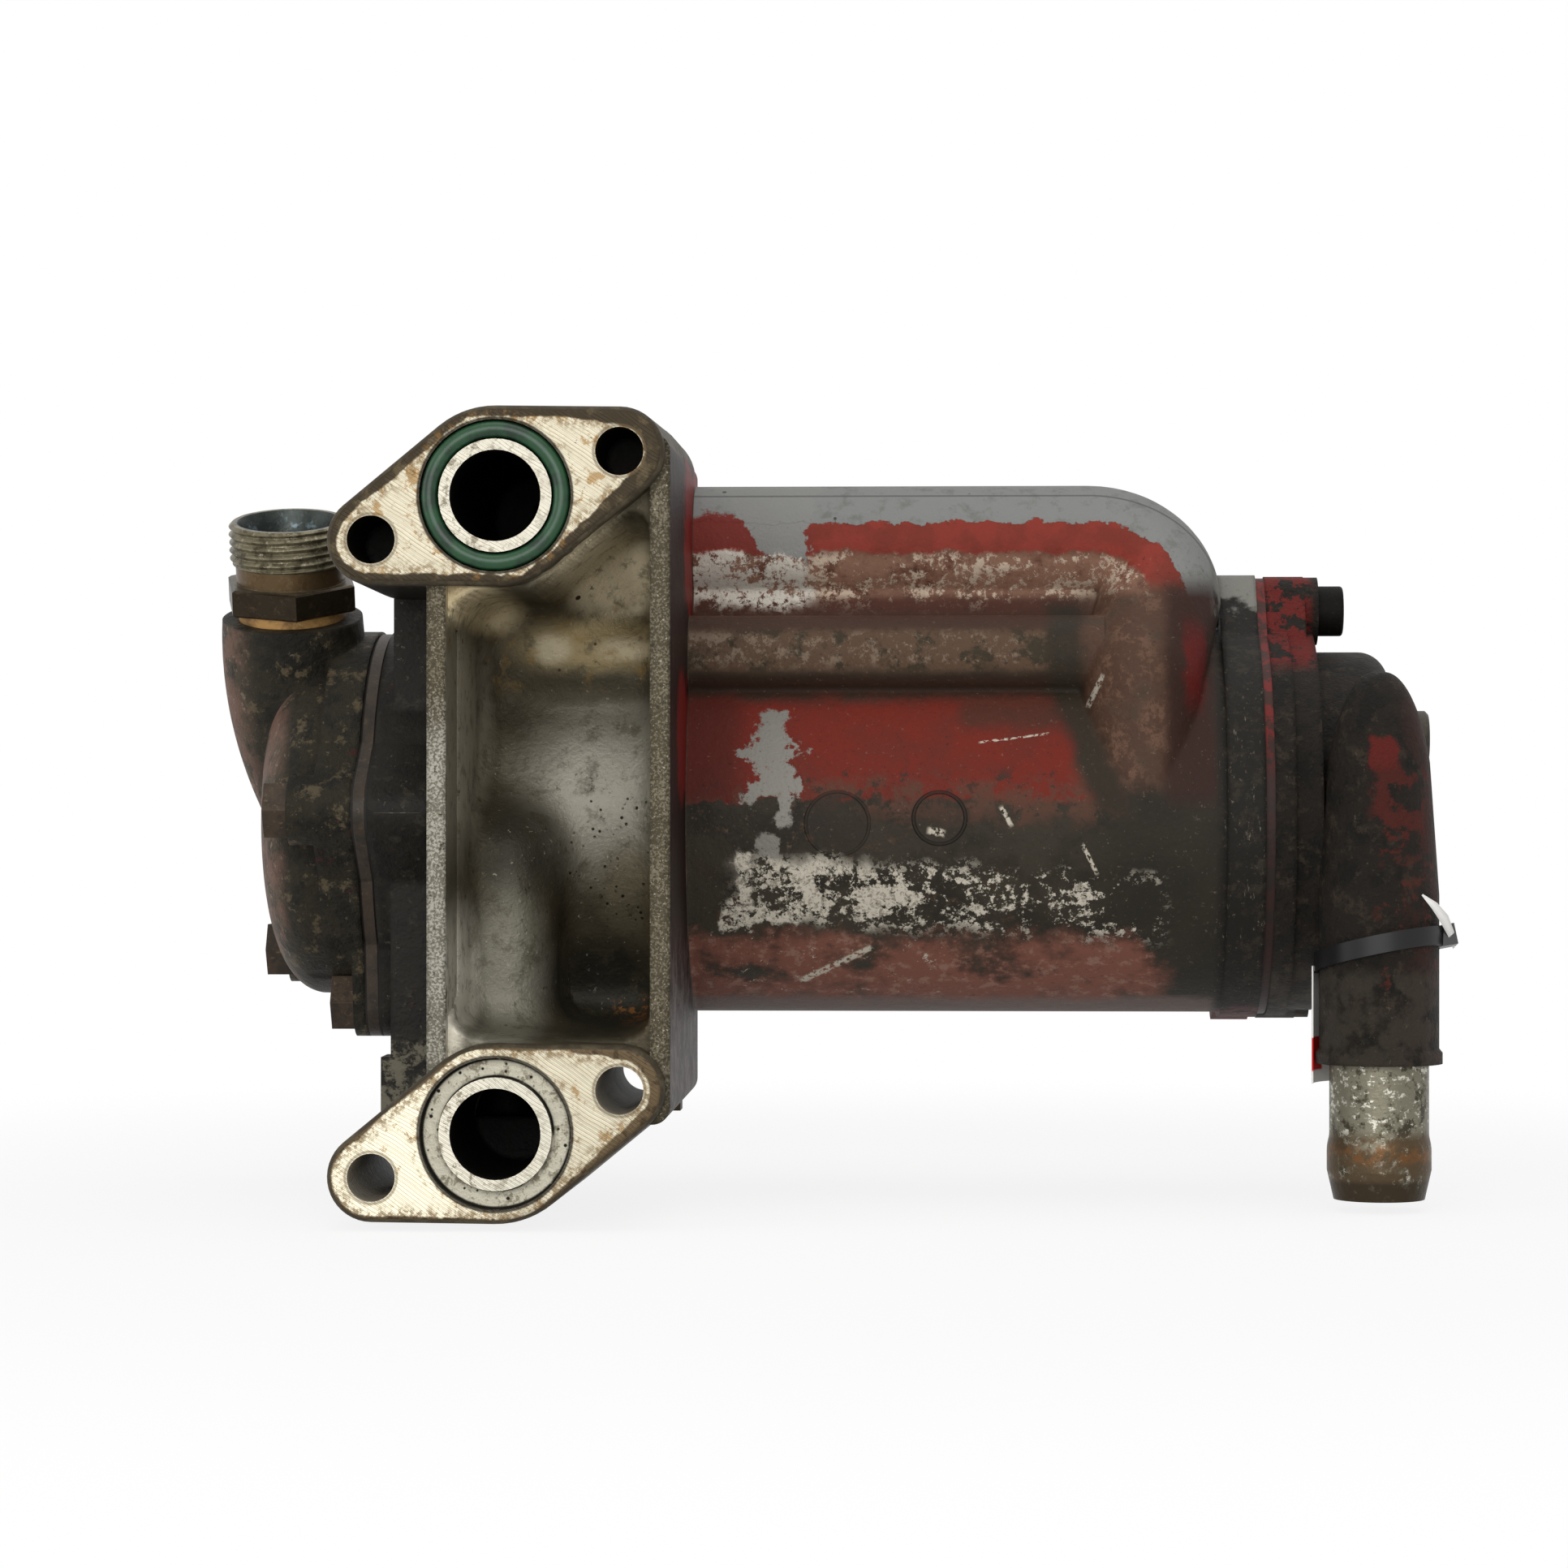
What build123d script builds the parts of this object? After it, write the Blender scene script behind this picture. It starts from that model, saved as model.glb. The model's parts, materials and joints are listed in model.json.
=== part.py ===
"""Shell and tube oil cooler housing with two bolted oil ports and two coolant end covers.

Millimetres. X runs along the shell, -Y points out of the port faces, +Z is up.
The origin is the centre of the upper oil port, on the machined mounting face.
"""

import math
import os

from build123d import *

# Shell and its axis
SHELL_RADIUS = 47.5
SHELL_WALL = 5.0
AXIS_BACK = 105.0
AXIS_DROP = 74.7
SHELL_LEFT = -35.6
SHELL_RIGHT = 178.2
END_FLANGE_STEP = 1.3
RIGHT_FLANGE_THICKNESS = 9.2
LEFT_LUG_DEPTH = 15.0

# Cover bolts: angles are measured round the shell from straight towards the viewer, upwards
LEFT_BOLT_STEP = 3.1
LEFT_LUG_RADIUS = 8.4
LEFT_BOLT_ANGLES = {"front": 3.2, "bottom": -61.0, "back_low": -138.2, "back_high": 146.0}
LEFT_SEAT_HEIGHTS = {"front": 6.0, "bottom": -6.6, "back_low": 19.1, "back_high": 19.1}
RIGHT_BOLT_STEP = 4.5
RIGHT_LUG_RADIUS = 9.0
RIGHT_BOLT_ANGLES = {"top": 90.0, "back_high": 162.0, "back_low": 234.0}
BOLT_RADIUS = 4.0
BOLT_HOLE_CLEARANCE = 0.5
THREAD_CLEARANCE = 0.05
BOLT_GRIP = 13.0
BOLT_TIP_CLEARANCE = 1.0
HEX_ACROSS_FLATS = 13.0
HEX_HEIGHT = 5.8
SOCKET_HEAD_RADIUS = 6.2
SOCKET_HEAD_HEIGHT = 6.4
SOCKET_ACROSS_FLATS = 6.0
SOCKET_DEPTH = 4.0
SPOT_FACE_RADIUS = 7.8
CUT_OVERRUN = 30.0
LUG_HUB_INSET = 6.0
RIGHT_LUG_HUB_INSET = 12.0
COVER_LUG_STEP = 0.4
HEAD_EDGE = 0.8

# Port flanges on the mounting face
PORT_PITCH = 145.0
PORT_BORE_RADIUS = 10.4
PORT_BOLT_PITCH = 60.0
PORT_BOLT_TILT = 19.4
PORT_BOLT_HOLE_RADIUS = 5.5
UPPER_BOLT_HOLE_DEPTH = 32.0
FLANGE_CENTRE_RADIUS = 20.5
FLANGE_EAR_RADIUS = 10.2
FLANGE_DRAFT = 1.0
FLANGE_EDGE_ROUND = 1.6
UPPER_FLANGE_DEPTH = 60.0
LOWER_FLANGE_DEPTH = 82.0
END_WALL_LEFT = -31.6
END_WALL_SET_BACK = 6.0
END_WALL_DROP = 4.0
END_FOOT_LEFT = -34.0
END_FOOT_TOP = -131.3
END_FOOT_DEPTH = 12.0
GROOVE_INNER_RADIUS = 12.9
GROOVE_OUTER_RADIUS = 17.3
GROOVE_DEPTH = 3.2
O_RING_SECTION_RADIUS = 1.95
O_RING_CLEARANCE = 0.05

# Bracket plates between the flanges
PLATE_SET_BACK = 3.5
LEFT_PLATE_LEFT = -16.0
LEFT_PLATE_THICKNESS = 4.4
RIGHT_PLATE_RIGHT = 39.6
RIGHT_PLATE_THICKNESS = 4.6
RIGHT_PLATE_TOP = 14.2
PLATE_DROP_BELOW_PORT = 2.0
RIGHT_PLATE_ROUND = 4.1

# Oil duct along the top, its elbow and the gallery that leads it round the shell
DUCT_RADIUS = 15.1
DUCT_BORE_RADIUS = 10.5
DUCT_FORWARD = 8.0
DUCT_DROP = 7.0
DUCT_END_WALL = 5.0
ELBOW_START = 136.6
ELBOW_BEND_RADIUS = 17.2
ELBOW_TILT = 35.0
GALLERY_X = 149.0
GALLERY_BACK = 72.8
GALLERY_SHOULDER = -40.0
GALLERY_END = -74.0
GALLERY_BORE_END = -62.0
RIDGE_RADIUS = 9.5
RIDGE_FORWARD = 31.0
RIDGE_LIFT = 40.5
RIDGE_RIGHT = 140.0
NECK_DUCT_RADIUS = 8.0
NECK_SHELL_RADIUS = 30.0

# Oil duct from the lower port up the front of the shell
LOWER_DUCT_RADIUS = 12.4
LOWER_DUCT_BORE_RADIUS = 8.0
LOWER_DUCT_OFFSET = -3.0
LOWER_DUCT_BACK = 54.0
LOWER_DUCT_TOP = -84.0
LOWER_WINDOW_HEIGHT = -92.0
LOWER_WINDOW_REACH = 8.0
LOWER_WEB_THICKNESS = 8.0

# Left joint: tube sheet rim between two gaskets
GASKET_THICKNESS = 0.5
GASKET_INSET = 0.5
SHEET_RIM_THICKNESS = 2.8
SHEET_RIM_STEP = 0.9
LEFT_COVER_FLANGE_THICKNESS = 9.6
COVER_RIM_STEP = 0.3
LEFT_DOME_STEP = 3.9
LEFT_DOME_END = -67.5
LEFT_DOME_SHOULDER = 5.0
LEFT_DOME_KNEE_SHARE = 0.99
LEFT_DOME_FLAT_SHARE = 0.28
LEFT_DOME_SHOULDER_PULL = (6.5, 0.965)
LEFT_DOME_CROWN_PULL = (1.0, 0.78)
COVER_WALL = 4.5

# Coolant pipe boss on the left cover
PIPE_X = -60.0
PIPE_TILT = 16.0
PIPE_BOSS_RADIUS = 17.3
PIPE_BOSS_TOP = 52.5
PIPE_BOSS_MIDDLE_X = -58.8
PIPE_BOSS_ROOT_RADIUS = 13.6
PIPE_BOSS_ROOT_X = -54.5
PIPE_BORE_START = 10.0
PIPE_BORE_RADIUS = 11.0

# Threaded union in the pipe boss
UNION_THREAD_RADIUS = 14.8
UNION_BORE_RADIUS = 9.5
UNION_MOUTH_RADIUS = 12.6
UNION_CONE_DEPTH = 7.0
UNION_HEX_ACROSS_FLATS = 30.0
UNION_HEX_HEIGHT = 6.8
UNION_HEX_TURN = 12.0
UNION_NECK_RADIUS = 13.4
UNION_NECK_HEIGHT = 4.6
UNION_THREAD_LENGTH = 10.4
UNION_SHANK_RADIUS = 10.9
UNION_SHANK_LENGTH = 12.0
WASHER_RADIUS = 13.2
WASHER_THICKNESS = 2.6
WASHER_CLEARANCE = 0.1

# Right joint and cover
LANTERN_RING_THICKNESS = 2.2
LANTERN_RING_STEP = 0.4
RIGHT_COVER_FLANGE_THICKNESS = 5.0
RIGHT_COVER_LUG_THICKNESS = 9.7
RIGHT_RIM_STEP = 0.9
RIGHT_DRUM_STEP = 5.7
RIGHT_DRUM_DEPTH = 30.2
RIGHT_DRUM_ROUND = 7.0
RIGHT_BOSS_RADIUS = 8.4
RIGHT_BOSS_HEIGHT = 13.2

# Hose elbow on the right cover
HOSE_X = 205.0
HOSE_FORWARD = 46.0
ELBOW_TOP = -38.9
ELBOW_NECK_RADIUS = 12.0
ELBOW_CROWN_DROP = 21.6
ELBOW_CROWN_TIP = 1.2
ELBOW_CROWN_PULL = 6.5
ELBOW_CROWN_SIDE = (10.4, 10.8)
ELBOW_BORE_TOP = -54.0
SLEEVE_RADIUS = 14.2
SLEEVE_TOP = -92.0
SLEEVE_END = -132.0
SLEEVE_LIP_RADIUS = 15.0
SLEEVE_LIP_HEIGHT = 2.6
ELBOW_BORE_RADIUS = 9.5
BRIDGE_TOP = -56.0
BRIDGE_BOTTOM = -98.0
BRIDGE_RADIUS = 10.5
BRIDGE_REACH = 20.0
BRIDGE_SIDE = 8.0
BRIDGE_ROUND = 5.0

# Steel hose spigot pressed into the sleeve
SPIGOT_RADIUS = 11.8
SPIGOT_WALL = 1.6
SPIGOT_END = -164.3
SPIGOT_SEAT = -112.0
SPIGOT_BEAD_RADIUS = 12.4
SPIGOT_BEAD_START = 16.0
SPIGOT_BEAD_LENGTH = 9.0
SPIGOT_BEAD_SHOULDER = 5.0
SPIGOT_BEAD_PULL = 2.0
SPIGOT_CHAMFER = 1.0
PRESS_CLEARANCE = 0.02

# Screw plug behind the hose elbow
PLUG_BACK = 4.0
PLUG_HEIGHT = 20.2
PLUG_BOSS_RADIUS = 9.5
PLUG_BOSS_HEIGHT = 3.4
PLUG_HEAD_RADIUS = 7.1
PLUG_HEAD_HEIGHT = 6.0
PLUG_SHANK_RADIUS = 5.0
PLUG_SHANK_LENGTH = 9.0
PLUG_WASHER_RADIUS = 8.0
PLUG_WASHER_THICKNESS = 1.5

# Tube bundle
TUBE_SHEET_CLEARANCE = 0.3
FIXED_SHEET_THICKNESS = 9.0
FLOATING_SHEET_THICKNESS = 15.0
FLOATING_SHEET_LEFT = 171.8
SHEET_END_ROOM = 0.6
TUBE_RADIUS = 5.0
TUBE_WALL = 0.8
TUBE_PITCH = 15.0
TUBE_RINGS = 2
TUBE_FIT = 0.02
TUBE_PROUD = 1.0
BAFFLE_COUNT = 4
BAFFLE_THICKNESS = 1.5
BAFFLE_CLEARANCE = 0.5
BAFFLE_CUT = 17.0
BAFFLE_TUBE_CLEARANCE = 0.1
TIE_ROD_RADIUS = 2.0
TIE_ROD_INSET = 3.9
TIE_ROD_COUNT = 3
TIE_ROD_FIT = 0.03
SEAL_SECTION_RADIUS = 1.5
SEAL_GROOVE_WIDTH = 3.6
SEAL_INSET = 2.9

# Cable tie and paper tag round the hose sleeve
TIE_HEIGHT = -105.0
TIE_WIDTH = 4.4
TIE_THICKNESS = 1.1
TIE_CLEARANCE = 0.2
TIE_ROLL = 11.0
TIE_NOD = -8.0
TIE_HEAD_SIZE = (5.2, 6.5, 5.0)
TAG_THICKNESS = 0.35
TAG_CLEARANCE = 0.6
TAG_TOP = -109.0
TAG_BOTTOM = -137.0
TAG_SHIFT = 4.0

# Sizes and planes that the joints share
SHELL_BORE_RADIUS = SHELL_RADIUS - SHELL_WALL
TUBE_SHEET_RADIUS = SHELL_BORE_RADIUS - TUBE_SHEET_CLEARANCE
BAFFLE_RADIUS = SHELL_BORE_RADIUS - BAFFLE_CLEARANCE
TIE_ROD_CIRCLE = SHELL_BORE_RADIUS - TIE_ROD_INSET
END_FLANGE_RADIUS = SHELL_RADIUS + END_FLANGE_STEP
LEFT_BOLT_CIRCLE = SHELL_RADIUS + LEFT_BOLT_STEP
RIGHT_BOLT_CIRCLE = SHELL_RADIUS + RIGHT_BOLT_STEP
SHEET_RIM_RADIUS = SHELL_RADIUS - SHEET_RIM_STEP
GASKET_RADIUS = SHEET_RIM_RADIUS - GASKET_INSET
COVER_RIM_RADIUS = SHELL_RADIUS - COVER_RIM_STEP
LEFT_DOME_RADIUS = SHELL_RADIUS - LEFT_DOME_STEP
LANTERN_RING_RADIUS = SHELL_RADIUS + LANTERN_RING_STEP
RIGHT_RIM_RADIUS = SHELL_RADIUS + RIGHT_RIM_STEP
RIGHT_DRUM_RADIUS = SHELL_RADIUS - RIGHT_DRUM_STEP
AXIS_HEIGHT = -AXIS_DROP
SHEET_RIM_RIGHT = SHELL_LEFT - GASKET_THICKNESS
SHEET_RIM_LEFT = SHEET_RIM_RIGHT - SHEET_RIM_THICKNESS
LEFT_COVER_FACE = SHEET_RIM_LEFT - GASKET_THICKNESS
LEFT_COVER_FLANGE_BACK = LEFT_COVER_FACE - LEFT_COVER_FLANGE_THICKNESS
RIGHT_COVER_FACE = SHELL_RIGHT + LANTERN_RING_THICKNESS
RIGHT_COVER_FLANGE_BACK = RIGHT_COVER_FACE + RIGHT_COVER_FLANGE_THICKNESS
RIGHT_BOSS_END = RIGHT_COVER_FACE + RIGHT_BOSS_HEIGHT
RIGHT_DRUM_END = RIGHT_COVER_FACE + RIGHT_DRUM_DEPTH
PLUG_BOSS_END = RIGHT_DRUM_END + PLUG_BOSS_HEIGHT
LOWER_PORT_HEIGHT = -PORT_PITCH
DUCT_HEIGHT = -DUCT_DROP
DUCT_BACK = AXIS_BACK - DUCT_FORWARD
HOSE_BACK = AXIS_BACK - HOSE_FORWARD
EAR_DX = PORT_BOLT_PITCH / 2 * math.cos(math.radians(PORT_BOLT_TILT))
EAR_DZ = PORT_BOLT_PITCH / 2 * math.sin(math.radians(PORT_BOLT_TILT))


def rod(radius, start, end):
    """A round bar from one point to another."""
    start = Vector(*start)
    run = Vector(*end) - start
    plane = Plane(origin=start, z_dir=run)
    return plane * Cylinder(radius, run.length, align=(Align.CENTER, Align.CENTER, Align.MIN))


def ball(radius, centre):
    return Pos(*centre) * Sphere(radius)


def block(low, high):
    """A box between two opposite corners."""
    size = [b - a for a, b in zip(low, high)]
    return Pos(*low) * Box(*size, align=(Align.MIN, Align.MIN, Align.MIN))


def along_shell(radius, left, right):
    """A cylinder on the shell's own axis."""
    return rod(radius, (left, AXIS_BACK, AXIS_HEIGHT), (right, AXIS_BACK, AXIS_HEIGHT))


def shell_section(x):
    """A sketch plane across the shell: sketch X is towards the viewer, sketch Y is up."""
    return Plane(origin=(x, AXIS_BACK, AXIS_HEIGHT), x_dir=(0, -1, 0), z_dir=(-1, 0, 0))


def round_shell(angle, radius):
    """The place on a shell section at an angle up from the viewer's side."""
    turn = math.radians(angle)
    return (radius * math.cos(turn), radius * math.sin(turn))


def point_round_shell(x, angle, radius):
    across, up = round_shell(angle, radius)
    return (x, AXIS_BACK - across, AXIS_HEIGHT + up)


def port_face(y):
    """A sketch plane parallel to the mounting face: sketch X is +X, sketch Y is +Z."""
    return Plane(origin=(0, y, 0), x_dir=(1, 0, 0), z_dir=(0, -1, 0))


def belt(centre_a, radius_a, centre_b, radius_b):
    """The outline of a belt drawn tight round two circles."""
    gap = (centre_b[0] - centre_a[0], centre_b[1] - centre_a[1])
    distance = math.hypot(*gap)
    heading = math.atan2(gap[1], gap[0])
    spread = math.acos((radius_a - radius_b) / distance)

    def on(centre, radius, angle):
        return (centre[0] + radius * math.cos(angle), centre[1] + radius * math.sin(angle))

    a_low, a_high = on(centre_a, radius_a, heading - spread), on(centre_a, radius_a, heading + spread)
    b_low, b_high = on(centre_b, radius_b, heading - spread), on(centre_b, radius_b, heading + spread)
    edges = [
        Line(a_low, b_low),
        ThreePointArc(b_low, on(centre_b, radius_b, heading), b_high),
        Line(b_high, a_high),
        ThreePointArc(a_high, on(centre_a, radius_a, heading + math.pi), a_low),
    ]
    return make_face(edges)


def two_ear_outline(centre_radius, ear_radius):
    """Port flange outline: a round middle with an ear at each end of a tilted line."""
    tilt = math.radians(PORT_BOLT_TILT)
    spread = math.acos((centre_radius - ear_radius) / (PORT_BOLT_PITCH / 2))

    def middle(angle):
        return (centre_radius * math.cos(angle), centre_radius * math.sin(angle))

    def ear(side, angle):
        return (
            side * EAR_DX + ear_radius * math.cos(angle),
            side * EAR_DZ + ear_radius * math.sin(angle),
        )

    right_low, right_high = tilt - spread, tilt + spread
    left_low, left_high = right_high + math.pi, right_low + math.pi
    edges = [
        Line(middle(right_low), ear(1, right_low)),
        ThreePointArc(ear(1, right_low), ear(1, tilt), ear(1, right_high)),
        Line(ear(1, right_high), middle(right_high)),
        ThreePointArc(middle(right_high), middle(tilt + math.pi / 2), middle(left_high)),
        Line(middle(left_high), ear(-1, left_high)),
        ThreePointArc(ear(-1, left_high), ear(-1, tilt + math.pi), ear(-1, left_low)),
        Line(ear(-1, left_low), middle(left_low)),
        ThreePointArc(middle(left_low), middle(tilt - math.pi / 2), middle(right_low)),
    ]
    return make_face(edges)


def ear_centre(side, port_height):
    return side * EAR_DX, port_height + side * EAR_DZ


def port_flange(port_height, depth):
    """A port flange cast back from its machined face, widening with its draft."""
    face = port_face(0) * Pos(0, port_height) * two_ear_outline(FLANGE_CENTRE_RADIUS, FLANGE_EAR_RADIUS)
    flange = extrude(face, -depth, taper=-FLANGE_DRAFT)
    rim = flange.faces().sort_by(Axis.Y)[0].edges()
    return fillet(rim, FLANGE_EDGE_ROUND)


def port_groove(port_height):
    ring = rod(GROOVE_OUTER_RADIUS, (0, -1, port_height), (0, GROOVE_DEPTH, port_height))
    core = rod(GROOVE_INNER_RADIUS, (0, -2, port_height), (0, GROOVE_DEPTH + 1, port_height))
    return ring - core


def port_bolt_holes(port_height, depth):
    holes = []
    for side in (-1, 1):
        x, z = ear_centre(side, port_height)
        holes.append(rod(PORT_BOLT_HOLE_RADIUS, (x, -1, z), (x, depth, z)))
    return holes


def bracket_plates():
    """The two side plates that join the port flanges and carry the shell."""
    bottom = LOWER_PORT_HEIGHT + PLATE_DROP_BELOW_PORT
    left = block(
        (LEFT_PLATE_LEFT, PLATE_SET_BACK, bottom),
        (LEFT_PLATE_LEFT + LEFT_PLATE_THICKNESS, AXIS_BACK, 0),
    )
    right = block(
        (RIGHT_PLATE_RIGHT - RIGHT_PLATE_THICKNESS, PLATE_SET_BACK, bottom),
        (RIGHT_PLATE_RIGHT, AXIS_BACK, RIGHT_PLATE_TOP),
    )
    outer_edges = right.edges().filter_by(Axis.Y).group_by(Axis.X)[-1]
    right = fillet(outer_edges, RIGHT_PLATE_ROUND)
    return left + right


def ear_column():
    """The upper right ear carried straight back to the duct."""
    x, z = ear_centre(1, 0)
    radius = FLANGE_EAR_RADIUS + UPPER_FLANGE_DEPTH * math.tan(math.radians(FLANGE_DRAFT))
    return rod(radius, (x, UPPER_FLANGE_DEPTH - 2, z), (x, DUCT_BACK, z))


def end_wall():
    """The rear wall of the bracket left of the plates, from the ear down to a small foot."""
    x, z = ear_centre(-1, 0)
    right = LEFT_PLATE_LEFT + 1
    upper_front = UPPER_FLANGE_DEPTH + END_WALL_SET_BACK
    upper = block((END_WALL_LEFT, upper_front, AXIS_HEIGHT), (right, AXIS_BACK, z))
    lower = block(
        (END_WALL_LEFT, UPPER_FLANGE_DEPTH, LOWER_PORT_HEIGHT - END_WALL_DROP),
        (right, LOWER_FLANGE_DEPTH, AXIS_HEIGHT),
    )
    foot = block(
        (END_FOOT_LEFT, UPPER_FLANGE_DEPTH, LOWER_PORT_HEIGHT - 1),
        (right, UPPER_FLANGE_DEPTH + END_FOOT_DEPTH, END_FOOT_TOP),
    )
    return upper + lower + foot


def cover_lugs(x_start, x_end, angles, circle, lug_radius, hub_radius):
    """Bolt lugs that swell out of a round flange."""
    lugs = []
    for angle in angles:
        outline = belt((0, 0), hub_radius, round_shell(angle, circle), lug_radius)
        lugs.append(extrude(shell_section(x_end) * outline, x_end - x_start))
    return lugs


def duct_run(radius, end_height):
    """A round run along the top, round the elbow and down the front, where the shell swallows it."""
    start, turn = Vector(0, DUCT_BACK, DUCT_HEIGHT), Vector(ELBOW_START, DUCT_BACK, DUCT_HEIGHT)
    lean, drop = math.sin(math.radians(ELBOW_TILT)), math.cos(math.radians(ELBOW_TILT))
    pivot = turn + Vector(0, -lean, -drop) * ELBOW_BEND_RADIUS
    section = Plane(origin=turn, x_dir=(0, 1, 0), z_dir=(1, 0, 0))
    bend = revolve(section * Circle(radius), Axis(pivot, (0, drop, -lean)), 90)
    foot = (pivot.X + ELBOW_BEND_RADIUS, pivot.Y, pivot.Z)
    knee = (GALLERY_X, GALLERY_BACK, GALLERY_SHOULDER)
    end = (GALLERY_X, GALLERY_BACK, end_height)
    run = rod(radius, (start.X, start.Y, start.Z), (turn.X, turn.Y, turn.Z)) + bend
    run += [ball(radius, foot), rod(radius, foot, knee), ball(radius, knee), rod(radius, knee, end)]
    return run


def top_duct():
    """Duct from the upper port along the top, with its elbow and the gallery below it."""
    return duct_run(DUCT_RADIUS, GALLERY_END) + ball(DUCT_RADIUS, (0, DUCT_BACK, DUCT_HEIGHT))


def top_duct_bore():
    return duct_run(DUCT_BORE_RADIUS, GALLERY_BORE_END) + rod(PORT_BORE_RADIUS, (0, -1, 0), (0, DUCT_BACK, 0))


def duct_neck():
    """The web that ties the duct down to the shell."""
    outline = belt(
        (DUCT_FORWARD, DUCT_HEIGHT - AXIS_HEIGHT), NECK_DUCT_RADIUS, (0, 0), NECK_SHELL_RADIUS
    )
    return extrude(shell_section(GALLERY_X) * outline, GALLERY_X - LEFT_PLATE_LEFT)


def second_ridge():
    back, height = AXIS_BACK - RIDGE_FORWARD, AXIS_HEIGHT + RIDGE_LIFT
    start, end = (LEFT_PLATE_LEFT + 1, back, height), (RIDGE_RIGHT, back, height)
    return rod(RIDGE_RADIUS, start, end)


def lower_web():
    """The wall that closes the bracket behind the lower flange, down from the shell."""
    top = AXIS_HEIGHT - SHELL_BORE_RADIUS / 2
    return block(
        (LEFT_PLATE_LEFT, LOWER_FLANGE_DEPTH - LOWER_WEB_THICKNESS, LOWER_PORT_HEIGHT),
        (RIGHT_PLATE_RIGHT - RIGHT_PLATE_THICKNESS / 2, LOWER_FLANGE_DEPTH, top),
    )


def lower_duct():
    foot = (LOWER_DUCT_OFFSET, LOWER_DUCT_BACK, LOWER_PORT_HEIGHT)
    top = (LOWER_DUCT_OFFSET, LOWER_DUCT_BACK, LOWER_DUCT_TOP)
    return rod(LOWER_DUCT_RADIUS, foot, top) + ball(LOWER_DUCT_RADIUS, top)


def lower_duct_bore():
    foot = (0, LOWER_DUCT_BACK, LOWER_PORT_HEIGHT)
    riser_foot = (LOWER_DUCT_OFFSET, LOWER_DUCT_BACK, LOWER_PORT_HEIGHT)
    window = (LOWER_DUCT_OFFSET, LOWER_DUCT_BACK, LOWER_WINDOW_HEIGHT)
    inside = (LOWER_DUCT_OFFSET, AXIS_BACK - SHELL_BORE_RADIUS + LOWER_WINDOW_REACH, LOWER_WINDOW_HEIGHT)
    entry = rod(PORT_BORE_RADIUS, (0, -1, LOWER_PORT_HEIGHT), foot)
    riser = rod(LOWER_DUCT_BORE_RADIUS, riser_foot, window)
    return entry + riser + ball(LOWER_DUCT_BORE_RADIUS, window) + rod(LOWER_DUCT_BORE_RADIUS, window, inside)


def cover_bolt_threads(angles, circle, mouth, direction):
    """Threaded holes for cover bolts, from the joint face into the casting."""
    holes = []
    for angle in angles:
        start = point_round_shell(mouth - direction, angle, circle)
        end = point_round_shell(mouth + direction * BOLT_GRIP, angle, circle)
        holes.append(rod(BOLT_RADIUS + THREAD_CLEARANCE, start, end))
    return holes


def make_housing():
    body = along_shell(SHELL_RADIUS, SHELL_LEFT, SHELL_RIGHT)
    body += along_shell(END_FLANGE_RADIUS, SHELL_RIGHT - RIGHT_FLANGE_THICKNESS, SHELL_RIGHT)
    for lug in cover_lugs(
        SHELL_LEFT, SHELL_LEFT + LEFT_LUG_DEPTH, LEFT_BOLT_ANGLES.values(),
        LEFT_BOLT_CIRCLE, LEFT_LUG_RADIUS, SHELL_RADIUS - LUG_HUB_INSET,
    ):
        body += lug
    for lug in cover_lugs(
        SHELL_RIGHT - RIGHT_FLANGE_THICKNESS, SHELL_RIGHT, RIGHT_BOLT_ANGLES.values(),
        RIGHT_BOLT_CIRCLE, RIGHT_LUG_RADIUS, END_FLANGE_RADIUS - LUG_HUB_INSET,
    ):
        body += lug
    body += port_flange(0, UPPER_FLANGE_DEPTH)
    body += port_flange(LOWER_PORT_HEIGHT, LOWER_FLANGE_DEPTH)
    body += rod(FLANGE_CENTRE_RADIUS, (0, UPPER_FLANGE_DEPTH - 2, 0), (0, DUCT_BACK + DUCT_END_WALL, 0))
    body += ear_column()
    body += bracket_plates()
    body += end_wall()
    body += duct_neck()
    body += top_duct()
    body += second_ridge()
    body += lower_duct()
    body += lower_web()
    body -= along_shell(SHELL_BORE_RADIUS, SHELL_LEFT - CUT_OVERRUN, SHELL_RIGHT + CUT_OVERRUN)
    body -= top_duct_bore()
    body -= lower_duct_bore()
    body -= [port_groove(0), port_groove(LOWER_PORT_HEIGHT)]
    body -= port_bolt_holes(0, UPPER_BOLT_HOLE_DEPTH)
    body -= port_bolt_holes(LOWER_PORT_HEIGHT, LOWER_FLANGE_DEPTH + 1)
    body -= cover_bolt_threads(LEFT_BOLT_ANGLES.values(), LEFT_BOLT_CIRCLE, SHELL_LEFT, 1)
    for hole in cover_bolt_threads(RIGHT_BOLT_ANGLES.values(), RIGHT_BOLT_CIRCLE, SHELL_RIGHT, -1):
        body -= hole
    return body


def pipe_point(distance, x=PIPE_X):
    """A point on the tilted coolant pipe line, at a distance from the shell axis."""
    tilt = math.radians(PIPE_TILT)
    return (x, AXIS_BACK - distance * math.sin(tilt), AXIS_HEIGHT + distance * math.cos(tilt))


def pipe_plane(distance, x=PIPE_X):
    tilt = math.radians(PIPE_TILT)
    along = (0, -math.sin(tilt), math.cos(tilt))
    return Plane(origin=pipe_point(distance, x), x_dir=(1, 0, 0), z_dir=along)


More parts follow.
